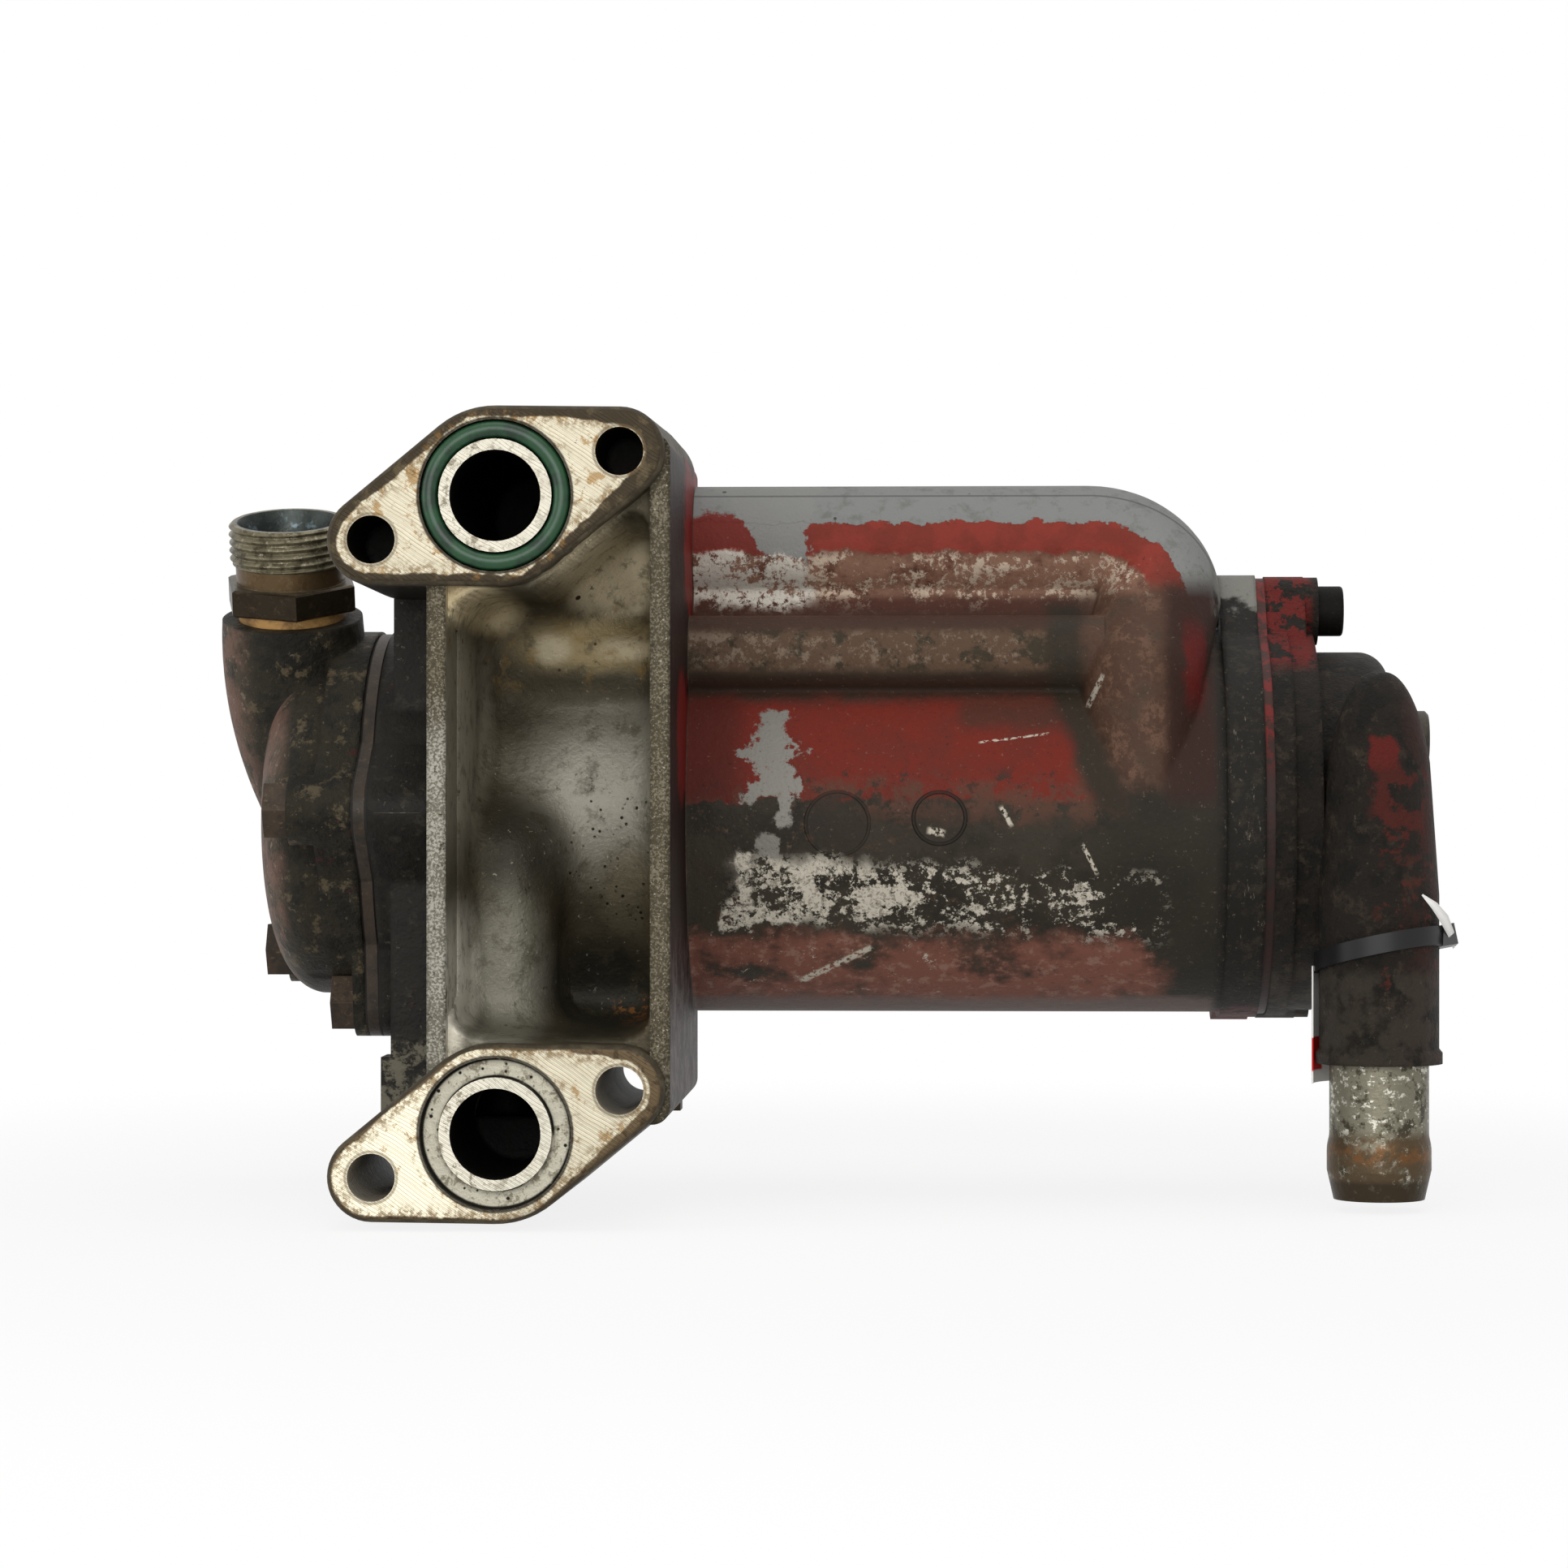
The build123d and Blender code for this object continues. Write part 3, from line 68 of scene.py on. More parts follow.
# Places on the part that the looks follow, in millimetres
PORT_HEIGHTS = (0.0, -145.0)
PORT_SPLIT = -72.5
FLANGE_TILT = math.radians(19.4)
FLANGE_CENTRE_RADIUS, FLANGE_EAR_RADIUS, EAR_REACH = 20.5, 10.2, 30.0
PORT_BORE_RADIUS = 10.4
GROOVE_RADIUS = 17.3
BOLT_HOLE_RADIUS = 5.5
AXIS_BACK, AXIS_HEIGHT = 105.0, -74.7
DUCT_HEIGHT, DUCT_RADIUS = -7.0, 15.1
ELBOW_START, ELBOW_CENTRE_HEIGHT = 136.6, -21.1
ELBOW_WIDTH, ELBOW_RISE = 17.2, 14.1
PLATE_LEFT, PLATE_RIGHT = -16.0, 39.6
PLATE_FRONT = 3.5
PLATE_LEFT_INSIDE, PLATE_RIGHT_INSIDE = -11.6, 35.0

# The two round cast marks on the shell: place seen from the front, radius, and half their line's width
LEFT_MARK = (76.0, -75.0, 7.6, 0.5)
RIGHT_MARK = (100.4, -73.7, 6.2, 0.55)
MARK_GRIME_HEIGHT = -74.5

# Scratches on the shell: both ends seen from the front, and half their width
SCRATCHES = (
    ((136.0, -47.0), (139.4, -39.5), 0.8),
    ((115.0, -71.0), (117.6, -75.5), 0.8),
    ((134.5, -80.0), (138.0, -87.0), 0.7),
    ((66.5, -113.5), (84.0, -105.0), 1.0),
    ((97.6, -76.6), (101.5, -77.4), 1.2),
    ((110.0, -55.6), (126.5, -53.5), 0.35),
)

# Soft ovals of painted highlights and painted shade inside the bracket: colour, middle and half widths seen
# from the front, strength
BRACKET_LIGHT_AND_SHADE = (
    ((132, 128, 116), (22, -66, 30, 30), 1.0),
    ((150, 146, 134), (20, -64, 15, 15), 0.8),
    ((106, 98, 78), (27, -92, 12, 16), 0.8),
    ((224, 210, 178), (22, -15, 17, 13), 0.95),
    ((150, 134, 98), (18, -32, 26, 9), 0.85),
    ((178, 168, 142), (7, -33, 6, 5), 0.8),
    ((178, 168, 142), (25, -33, 9, 4), 0.7),
    ((58, 52, 39), (14, -43, 30, 5), 0.85),
    ((140, 134, 118), (-12, -55, 6, 38), 0.85),
    ((52, 50, 42), (0, -82, 13, 14), 0.9),
    ((128, 125, 112), (-1, -113, 12, 30), 0.95),
    ((210, 204, 188), (-12, -118, 5, 30), 1.0),
    ((206, 190, 154), (-8, -24, 11, 7), 1.0),
    ((42, 40, 33), (20, -114, 15, 15), 1.0),
    ((84, 70, 50), (32, -98, 4, 14), 0.6),
)

# The soft cast sheet inside the bracket: the forms it follows, how it lies over them and how it is found
SHELL_RADIUS = 47.5
DUCT_BACK = 97.0
RIDGE_PLACE, RIDGE_RADIUS = (74.0, -34.2), 9.5
RISER = ((-3.0, 54.0, -145.0), (-3.0, 54.0, -84.0), 12.4)
UPPER_SHOULDER = ((-3.0, 74.0, -20.0), (36.0, 74.0, -7.0), 12.0)
WEB_BACK, WEB_TOP = 74.0, -100.0
UPPER_FLANGE_DEPTH, LOWER_FLANGE_DEPTH = 60.0, 82.0
FLANGE_WIDENING = math.tan(math.radians(1))
SKIN_FILLET, SKIN_LIFT, SKIN_MARGIN = 10.0, 0.25, 0.6
SKIN_OVERLAP = 1.0
SKIN_FRONT, SKIN_BACK = 8.0, 84.0
SKIN_TOP, SKIN_BOTTOM = 3.0, -138.0
SKIN_COLUMNS, SKIN_ROWS = 64, 190
SKIN_STEPS, SKIN_NEAR, SKIN_STRIDE = 60, 0.02, 0.85

# The threaded union on the left cover, along its own tilted line from the shell axis
PIPE_X = -60.0
PIPE_TILT = math.radians(16)
UNION_SHANK_START = 43.1
UNION_HEX_START = 55.1
UNION_NECK_START = 61.9
UNION_THREAD_START = 66.5
UNION_RIM = 76.9
UNION_CONE_START = 69.9
UNION_SHANK_RADIUS = 10.9
UNION_HEX_FLATS = 30.0
UNION_HEX_TURN = math.radians(12)
UNION_CHAMFER_DEPTH, UNION_CHAMFER_LENGTH = 0.9, 0.5
UNION_NECK_RADIUS = 13.4
UNION_THREAD_RADIUS = 14.8
UNION_THREAD_DEPTH = 1.0
UNION_THREAD_PITCH = 2.0
UNION_THREAD_LEAD = 0.9
UNION_BORE_RADIUS = 9.5
UNION_MOUTH_RADIUS = 12.6
UNION_TURNS, UNION_THREAD_ROWS = 120, 44
UNION_SHARP_ANGLE = math.radians(28)

# The loose pale end at the tie's head: its middle line, its width at each point and its thickness
TAIL_PATH = (
    (222.6, 57.5, -104.5),
    (221.6, 54.0, -101.2),
    (219.6, 50.5, -97.4),
    (217.0, 48.0, -94.2),
    (214.0, 46.6, -91.6),
)
TAIL_WIDTHS = (0.4, 1.3, 1.7, 1.3, 0.3)
TAIL_THICKNESS = 0.5


def linear(color):
    """A colour given as it looks on screen, 0 to 255, as the shader wants it."""
    shares = [value / 255 for value in color]
    lit = [share / 12.92 if share <= 0.04045 else ((share + 0.055) / 1.055) ** 2.4 for share in shares]
    return (*lit, 1)


class Wire:
    """A value in a material's node tree that can be added, multiplied and compared."""

    def __init__(self, tree, socket):
        self.tree, self.socket = tree, socket

    def math(self, operation, *others, clamp=False):
        node = self.tree.nodes.new("ShaderNodeMath")
        node.operation, node.use_clamp = operation, clamp
        for slot, value in enumerate((self, *others)):
            plug(self.tree, value, node.inputs[slot])
        return Wire(self.tree, node.outputs[0])

    def __add__(self, other):
        return self.math("ADD", other)

    def __sub__(self, other):
        return self.math("SUBTRACT", other)

    def __mul__(self, other):
        return self.math("MULTIPLY", other)

    def __truediv__(self, other):
        return self.math("DIVIDE", other)

    def abs(self):
        return self.math("ABSOLUTE")

    def sine(self):
        return self.math("SINE")

    def hold(self):
        """This value kept between 0 and 1."""
        return self.math("ADD", 0.0, clamp=True)

    def cover(self, other):
        return self.math("MAXIMUM", other)

    def off(self):
        """One minus this mask."""
        return (self * -1) + 1

    def between(self, low, high):
        """Low where this mask is 0, high where it is 1."""
        return self * (high - low) + low

    def step(self, low, high):
        """A smooth rise from 0 at low to 1 at high. It falls if low is the greater."""
        node = self.tree.nodes.new("ShaderNodeMapRange")
        node.interpolation_type = "SMOOTHSTEP"
        flip = low > high
        plug(self.tree, self, node.inputs["Value"])
        plug(self.tree, min(low, high), node.inputs["From Min"])
        plug(self.tree, max(low, high), node.inputs["From Max"])
        node.inputs["To Min"].default_value = 1.0 if flip else 0.0
        node.inputs["To Max"].default_value = 0.0 if flip else 1.0
        return Wire(self.tree, node.outputs["Result"])

    def band(self, low, high, soft):
        return self.step(low - soft, low + soft) * self.step(high + soft, high - soft)


def plug(tree, value, target):
    """Links a wire or socket to the target, or sets a plain value on it."""
    if isinstance(value, Wire):
        value = value.socket
    if isinstance(value, bpy.types.NodeSocket):
        tree.links.new(value, target)
    else:
        target.default_value = value


class Look:
    """One procedural surface, painted in the part's own millimetres. A host lends it its material."""

    def __init__(self, name, color, host=None):
        self.color = linear(color)
        if host:
            self.material, self.tree, self.out = host.material, host.tree, host.out
            self.place, self.x, self.y, self.z = host.place, host.x, host.y, host.z
            self.nx, self.ny = host.nx, host.ny
        else:
            self.start_material(name)
        self.shader = self.add("BsdfPrincipled")
        self.result = self.shader.outputs[0]

    def add(self, kind):
        return self.tree.nodes.new("ShaderNode" + kind)

    def start_material(self, name):
        self.material = bpy.data.materials.new(name)
        self.material.use_nodes = True
        self.tree = self.material.node_tree
        self.tree.nodes.clear()
        self.out = self.add("OutputMaterial")
        coords = self.add("TexCoord")
        scale = self.add("VectorMath")
        scale.operation = "SCALE"
        scale.inputs["Scale"].default_value = 1 / MM
        self.tree.links.new(coords.outputs["Object"], scale.inputs[0])
        self.place = scale.outputs[0]
        self.x, self.y, self.z = self.split(self.place)
        geometry = self.add("NewGeometry")
        self.nx, self.ny, _ = self.split(geometry.outputs["Normal"])

    def split(self, socket):
        node = self.add("SeparateXYZ")
        self.tree.links.new(socket, node.inputs[0])
        return [Wire(self.tree, out) for out in node.outputs]

    def stretched(self, x=1.0, y=1.0, z=1.0, turn=0.0):
        """The place with each axis scaled, for streaks."""
        node = self.add("Mapping")
        node.inputs["Scale"].default_value = (x, y, z)
        node.inputs["Rotation"].default_value = (0, turn, 0)
        self.tree.links.new(self.place, node.inputs[0])
        return node.outputs[0]

    def noise(self, size, detail=4.0, rough=0.55, place=None):
        """Noise from 0 to 1 whose blotches are about this many millimetres across."""
        node = self.add("TexNoise")
        node.inputs["Scale"].default_value = 1 / size
        node.inputs["Detail"].default_value = detail
        node.inputs["Roughness"].default_value = rough
        self.tree.links.new(place or self.place, node.inputs["Vector"])
        return Wire(self.tree, node.outputs["Fac"])

    def specks(self, size):
        """Distance to the nearest of scattered points, in cells of this many millimetres."""
        node = self.add("TexVoronoi")
        node.inputs["Scale"].default_value = 1 / size
        self.tree.links.new(self.place, node.inputs["Vector"])
        return Wire(self.tree, node.outputs["Distance"])

    def paint(self, color, mask):
        """Lays a screen colour over what is there, where the mask is."""
        node = self.add("Mix")
        node.data_type = "RGBA"
        plug(self.tree, mask, node.inputs[0])
        node.inputs[7].default_value = linear(color)
        plug(self.tree, self.color, node.inputs[6])
        self.color = node.outputs[2]

    def stain(self, color, grain, low, high, where=None, strength=1.0):
        """Paints blotches of one noise, given as its size, detail and roughness, from low to high."""
        mask = self.noise(*grain).step(low, high)
        if where is not None:
            mask = where * mask
        self.paint(color, mask if strength == 1.0 else mask * strength)

    def finish(self, metallic, rough, bump=None, depth=0.1, soft=0.0, shine=0.15):
        """Joins up the shader. Edges and creases are blended by the soft radius, in millimetres."""
        plug(self.tree, self.color, self.shader.inputs["Base Color"])
        plug(self.tree, metallic, self.shader.inputs["Metallic"])
        plug(self.tree, rough, self.shader.inputs["Roughness"])
        plug(self.tree, shine, self.shader.inputs["Specular IOR Level"])
        normal = None
        if soft:
            blend = self.add("Bevel")
            blend.samples = BEVEL_SAMPLES
            blend.inputs["Radius"].default_value = soft * MM
            normal = blend.outputs[0]
        if bump is not None:
            node = self.add("Bump")
            node.inputs["Distance"].default_value = depth * MM
            plug(self.tree, bump, node.inputs["Height"])
            if normal:
                self.tree.links.new(normal, node.inputs["Normal"])
            normal = node.outputs[0]
        if normal:
            self.tree.links.new(normal, self.shader.inputs["Normal"])
        self.tree.links.new(self.result, self.out.inputs[0])
        return self.material

    def join(self, other, mask):
        """Shows the other surface of this material where the mask is."""
        mix = self.add("MixShader")
        plug(self.tree, mask, mix.inputs[0])
        self.tree.links.new(self.result, mix.inputs[1])
        self.tree.links.new(other.result, mix.inputs[2])
        self.result = mix.outputs[0]
        self.tree.links.new(self.result, self.out.inputs[0])


def distance(across, up):
    """How far a point is from the middle, from its two offsets."""
    return ((across * across) + (up * up)).math("SQRT")


def patch(look, jag, left, right, low, high, soft=1.5):
    """A rough rectangle seen from the front, its edges moved by the jag."""
    return (look.x + jag).band(left, right, soft) * (look.z + jag * 0.8).band(low, high, soft)


def stroke(look, start, end, width, wander):
    """A scratch from one front point to another, as (x, z) pairs."""
    run = (end[0] - start[0], end[1] - start[1])
    length = math.hypot(*run)
    along = ((look.x - start[0]) * (run[0] / length)) + ((look.z - start[1]) * (run[1] / length))
    across = ((look.x - start[0]) * (-run[1] / length)) + ((look.z - start[1]) * (run[0] / length))
    return along.band(0, length, 0.6) * (across + wander).abs().step(width, width * 0.4)


def elbow_offset(look):
    """How far above, or outside, the middle line of the top duct a front point lies, in millimetres."""
    across = (look.x - ELBOW_START).cover(0.0) / ELBOW_WIDTH
    up = (look.z - ELBOW_CENTRE_HEIGHT).cover(0.0) / ELBOW_RISE
    return (distance(across, up) - 1) * DUCT_RADIUS


class Port:
    """Places round the nearer of the two ports, which have the same shape."""

    def __init__(self, look):
        self.upper = look.z.step(PORT_SPLIT - 1, PORT_SPLIT + 1)
        up = look.z - (self.upper.off() * PORT_HEIGHTS[1])
        lean, rise = math.sin(FLANGE_TILT), math.cos(FLANGE_TILT)
        self.along = ((look.x * rise) + (up * lean)).abs()
        self.aside = ((up * rise) - (look.x * lean)).abs()
        self.middle = distance(self.along, self.aside)
        self.hole = distance(self.along - EAR_REACH, self.aside)

    def edge(self):
        """How far outside the flange's outline a point lies, below 0 inside it."""
        lean = (FLANGE_CENTRE_RADIUS - FLANGE_EAR_RADIUS) / EAR_REACH
        rise = math.sqrt(1 - lean * lean)
        side = (self.along * lean) + (self.aside * rise) - FLANGE_CENTRE_RADIUS
        ear = self.hole - FLANGE_EAR_RADIUS
        reach = (self.along * rise) - (self.aside * lean)
        past_ear = reach.step(EAR_REACH * rise - 0.1, EAR_REACH * rise + 0.1)
        return side + (ear - side) * past_ear


def ring_mask(look, x, z, radius, width):
    return (distance(look.x - x, look.z - z) - radius).abs().step(width, width * 0.4)


def duct_paint(look, jag, fine):
    """The top duct: grey primer above, a strip of fresh red, then worn cream and brown, and painted shade in
    the crease below it.
    """
    x, z = look.x, look.z
    offset = elbow_offset(look)
    right = x.step(38, 40)
    on_duct = z.step(-27, -24) * right
    mottle = look.noise(6, 8, 0.7)
    look.paint((90, 54, 41), on_duct)
    look.paint((64, 42, 31), on_duct * mottle.step(0.48, 0.64) * 0.8)
    worn = (offset + jag * 0.3).band(-14, -2.5, 2.2) * x.step(38, 44)
    worn = worn * (x + jag).step(158, 150) * z.step(-26, -20)
    look.stain((132, 98, 80), (8, 9, 0.7), 0.3, 0.52, worn, 0.95)
    look.paint((72, 40, 30), z.band(-24, -20, 1.5) * right * 0.85)
    # Painted shade in the crease under the duct
    look.paint((58, 36, 25), z.step(-21.5, -25) * z.step(-30, -27) * right * 0.85)
    flakes = look.noise(1.9, 10, 0.8)
    clumps = look.noise(10, 6, 0.62).step(0.36, 0.66)
    cream = worn * (flakes + clumps * 0.13 + x.step(96, 60) * 0.03).step(0.59, 0.63)
    look.paint((188, 170, 150), cream * 0.92)
    near_plate = patch(look, jag * 1.2, 38, 69, -21, -8, 2) * (flakes + clumps * 0.12).step(0.5, 0.54)
    look.paint((196, 190, 178), near_plate * 0.95)
    look.stain((58, 50, 38), (3.4, 8, 0.72), 0.62, 0.67, worn, 0.8)
    above = z.step(-19.5, -15)
    strip = (offset + jag * 0.5 + fine).band(-2.0, 8, 0.7) * right * above
    look.paint((130, 50, 39), strip)
    look.stain((108, 44, 34), (9,), 0.45, 0.62, strip, 0.7)
    edge = offset + jag * 0.55 + fine * 1.2
    primer = edge.step(5.7, 6.0) * z.step(-21, -19.5)
    look.paint((128, 129, 126), primer)
    look.stain((104, 104, 100), (5, 8, 0.72), 0.5, 0.66, primer, 0.7)
    ragged = jag * 1.1 + fine * 2
    slant = x + (z * 0.86) + ragged * 1.2
    tongue = slant.step(50.4, 51.0) * (x + ragged * 1.2).step(69.5, 68.9)
    tongue = tongue * (z + ragged - flakes * 12).step(-17, -16)
    look.paint((131, 131, 127), tongue)
    chips = (edge - 4.6).band(-1.5, 2.0, 0.8) * flakes.step(0.6, 0.62) * above
    look.paint((60, 44, 36), chips * 0.8)
    corner = slant.step(51, 50.4) * (z + ragged * 0.7).band(-8.6, 0.0, 0.5) * right
    look.paint((112, 44, 37), corner)
    look.paint((128, 124, 116), corner * flakes.step(0.62, 0.64))
    seam = (offset - 13.0).abs().step(0.32, 0.12) * above
    look.paint((84, 84, 82), seam * 0.8)
    specks = look.specks(9).step(0.07, 0.05) * z.step(-12, -8)
    look.paint((58, 56, 52), specks * 0.9)
    return (cream + near_plate).hold(), primer


def shell_paint(look, jag, fine):
    """The shell below the duct, from the ridge down: red, then grime, bare metal and dull red, with painted
    shade in the crease under the ridge and beside the right plate.
    """
    x, z = look.x, look.z
    coarse = look.noise(16, 5, 0.6)
    mottle = look.noise(7, 8, 0.72)
    flecks = look.noise(3.2, 10, 0.77)
    ridge = (z + jag * 0.2).band(-38.5, -27.5, 1.5)
    look.paint((86, 66, 51), ridge)
    pale = z.band(-37, -29, 2) * (flecks + x.step(105, 60) * 0.04).step(0.53, 0.6)
    look.paint((124, 108, 92), pale * 0.85)
    look.paint((48, 42, 29), ridge * (mottle + x.step(105, 125) * 0.08).step(0.5, 0.6) * 0.9)
    look.paint((138, 122, 98), ridge * look.noise(2.2, 9, 0.8).step(0.6, 0.65) * x.step(125, 105) * 0.8)
    # Painted shade in the crease under the ridge
    look.paint((50, 34, 25), (z + jag * 0.1).band(-44.5, -39.5, 1.5) * x.step(165, 150))
    red_side = (x + z * 0.4).step(119, 110)
    red = (z + jag * 0.35 + fine * 0.5).step(-43, -48)
    red = red * (z + jag * 0.7 + fine * 1.4).step(-70.5, -69.0) * red_side
    look.paint((108, 35, 24), red)
    look.stain((92, 38, 28), (12, 6, 0.65), 0.42, 0.66, red, 0.75)
    look.paint((66, 44, 33), red * flecks.step(0.62, 0.67) * 0.6)
    look.stain((82, 60, 48), (4.2, 9, 0.74), 0.5, 0.58, red * z.step(-60, -70), 0.8)
    fading = (z + jag * 0.9).band(-74, -66, 2.5) * red_side * x.step(66, 78)
    look.paint((84, 56, 44), fading * mottle.step(0.44, 0.54) * 0.85)
    look.stain((46, 40, 32), (5, 9, 0.75), 0.55, 0.6, (z + jag).band(-72, -62, 3) * red_side, 0.8)
    look.paint((66, 40, 30), red * patch(look, jag, 106, 130, -52, -44, 3) * 0.8)
    # Darker red beside the right plate: painted shade of the plate over the red paint
    look.paint((76, 29, 22), red * (x + jag * 0.5).step(57, 48) * 0.85)
    low_red = (z + jag * 1.2).band(-119, -103, 3) * coarse.step(0.34, 0.5) * (x + jag).step(158, 150)
    look.paint((120, 76, 63), low_red * 0.9)
    look.stain((142, 112, 98), (4, 9, 0.74), 0.52, 0.6, low_red, 0.6)
    look.paint((60, 48, 40), low_red * mottle.step(0.56, 0.66) * 0.7)
    look.paint((108, 94, 88), (z + jag * 0.2).step(-116.5, -119) * 0.8)
    streaks = look.noise(9, 12, 0.74, look.stretched(0.75, 1, 1.0, 0.15))
    streaks = streaks + (look.noise(1.8, 8, 0.75) - 0.5) * 0.8
    where = (z + x * 0.05 + jag * 0.8).band(-95.5, -80.5, 2.5)
    dense = x.band(60, 96, 9) * 0.07
    bare = where * (x + jag).band(54, 152, 6)
    bare = bare * (streaks + dense - x.step(105, 150) * 0.03).step(0.545, 0.56)
    bare = bare.cover(patch(look, jag + fine * 3, 49, 66, -100, -93.5, 0.8) * streaks.step(0.47, 0.49))
    bare = bare.cover(patch(look, jag * 0.6 + fine * 3, 51.5, 55.5, -95, -82, 0.8) * flecks.step(0.46, 0.48))
    low_bits = (z + jag).band(-116, -96, 2) * (x + jag).band(45, 104, 3) * flecks.step(0.61, 0.63)
    bare = bare.cover(low_bits * 0.8)
    look.paint((190, 183, 168), bare)
    look.stain((112, 104, 90), (1.1, 6, 0.75), 0.5, 0.58, bare, 0.75)
    tongue = patch(look, jag * 1.5 + fine * 4, 54.5, 66.0, -70, -54, 0.5)
    tongue = tongue.cover(patch(look, jag * 0.5 + fine * 4, 56.8, 63.2, -58, -48.5, 0.5))
    tongue = tongue.cover(patch(look, jag * 0.5 + fine * 3, 61.0, 64.6, -76, -66, 0.5))
    tongue = tongue.cover(patch(look, jag * 0.5 + fine * 3, 56.5, 62, -83.5, -78, 0.5) * 0.9)
    tongue = (tongue * flecks.step(0.36, 0.4)).hold()
    look.paint((124, 121, 114), tongue)
    for mark, strength in ((LEFT_MARK, 0.75), (RIGHT_MARK, 0.35)):
        disc = distance(x - mark[0], z - MARK_GRIME_HEIGHT).step(7.8, 7.0)
        look.paint((44, 38, 31), disc * mottle.step(0.36, 0.5) * strength)
    return bare.cover(tongue)


def gallery_paint(look, jag):
    x, z = look.x, look.z
    height = z.band(-66, -19, 4)
    look.paint((76, 54, 42), (x + jag * 0.5).band(134, 157, 3) * height * 0.95)
    look.stain((108, 80, 65), (4, 9, 0.77), 0.49, 0.58, (x + jag).band(138, 154, 4) * height, 0.75)
    look.stain((54, 46, 35), (8, 9, 0.72), 0.54, 0.62, (x + jag).band(134, 157, 4) * height, 0.7)
    look.paint((48, 29, 23), (x + jag * 0.3).band(154.5, 167, 2) * z.band(-70, -17, 4) * 0.95)
    look.paint((96, 22, 19), (x + jag * 0.6).band(159, 164, 1.6) * z.band(-46, -28, 5) * 0.8)
    # Painted shade in the crease along the gallery's left side
    lean = (z * -1 - 44).cover(0.0) * 0.42
    crease = (x - lean + jag * 0.4).band(126.5, 135, 2.5) * z.band(-73, -21, 3)
    look.paint((42, 36, 27), crease * 0.95)


def small_marks(look, wander):
    """Scratches down to bare metal. It gives back their mask."""
    marks = None
    for scratch in SCRATCHES:
        mark = stroke(look, *scratch, wander)
        marks = mark if marks is None else marks.cover(mark)
    marks = marks * look.noise(1.1, 4, 0.6).step(0.42, 0.5)
    look.paint((178, 170, 154), marks)
    return marks


def bracket_paint(look, jag):
    """Bare casting between the side plates, smoky and stained with oil, with soft painted highlights and
    painted shade laid over it.
    """
    x, y, z = look.x, look.y, look.z
    inside = x.band(PLATE_LEFT - 0.5, PLATE_RIGHT - 4.2, 0.3) * (y + jag).band(4, 100, 0.8) * z.step(13, 8)
    cloud = look.noise(14, 6, 0.6)
    wobble = jag * 0.25
    look.paint((78, 71, 56), inside)
    look.paint((60, 55, 43), inside * cloud.step(0.42, 0.6) * 0.8)
    # Painted highlights where the forms bulge towards the lamps, and painted shade in the creases, corners
    # and the pocket beside the riser
    for color, (middle, height, wide, high), strength in BRACKET_LIGHT_AND_SHADE:
        spot = distance((x + wobble - middle) / wide, (z + wobble - height) / high).step(1.05, 0.35)
        look.paint(color, inside * spot * strength)
    look.stain((128, 104, 62), (7, 6, 0.65), 0.52, 0.66, inside * z.band(-42, -20, 4), 0.6)
    look.stain((70, 64, 50), (6, 9, 0.74), 0.5, 0.64, inside, 0.6)
    look.stain((36, 32, 24), (4, 9, 0.78), 0.6, 0.66, inside, 0.7)
    look.stain((170, 164, 146), (2.2, 9, 0.8), 0.61, 0.66, inside, 0.45)
    rust = distance((x - 28) / 9, (z + 120) / 4).step(1.0, 0.4)
    look.stain((126, 84, 46), (3.0, 8, 0.7), 0.52, 0.58, inside * rust)
    pits = look.specks(1.9).step(0.26, 0.16) * look.noise(5, 5, 0.6).step(0.47, 0.55)
    look.paint((28, 25, 18), inside * pits * patch(look, jag * 2, 10, 36, -100, -66, 4))
    spots = look.specks(7.5).step(0.11, 0.08)
    look.paint((50, 36, 20), inside * spots * z.band(-46, -18, 2))
    flecks = inside * look.noise(1.8, 8, 0.76).step(0.63, 0.66)
    look.paint((176, 168, 148), flecks * patch(look, jag * 2, -12, 36, -122, -60, 4) * 0.8)
    return inside


def plate_paint(look, jag, fine):
    """The two side plates: red outside, darkened there as painted shade, and speckled bare metal on their
    front edges.
    """
    outer = look.x.band(PLATE_RIGHT - 0.4, PLATE_RIGHT + 0.4, 0.2) * look.nx.step(0.3, 0.6)
    # The right plate's outer side, turned away from the lamps: its red painted very dark, as painted shade
    look.paint((27, 12, 8), outer)
    reach = look.y + jag * 2.5 + fine * 2
    look.paint((116, 26, 22), outer * (look.z + jag * 2).band(-24, 12, 2) * reach.step(52, 58) * 0.9)
    look.paint((104, 22, 18), outer * (look.z + jag * 2).band(-68, -42, 2) * reach.step(26, 36) * 0.8)
    low = outer * look.z.step(-92, -118)
    look.stain((96, 84, 80), (7, 8, 0.72), 0.42, 0.6, low, 0.9)
    look.stain((34, 29, 27), (5, 9, 0.76), 0.53, 0.58, low, 0.85)
    look.stain((176, 170, 166), (1.8, 9, 0.8), 0.6, 0.64, low, 0.85)
    front = look.y.band(PLATE_FRONT - 0.4, PLATE_FRONT + 1.6, 0.3) * look.ny.step(-0.5, -0.9)
    left = look.x.step(12, 8)
    look.paint((66, 60, 46), front)
    look.paint((98, 94, 82), front * left * look.z.step(-46, -60))
    flecks = look.noise(0.6, 4, 0.6) + (look.noise(7, 8, 0.72) - 0.5) * 0.5
    look.paint((106, 99, 83), front * flecks.step(0.46, 0.62))
    look.paint((152, 149, 138), front * left * look.z.step(-40, -60) * flecks.step(0.44, 0.6))
    look.stain((168, 162, 146), (0.7, 3, 0.6), 0.62, 0.68, front, 0.8)
    look.stain((42, 37, 27), (3.0, 9, 0.8), 0.56, 0.63, front, 0.8)
    return front


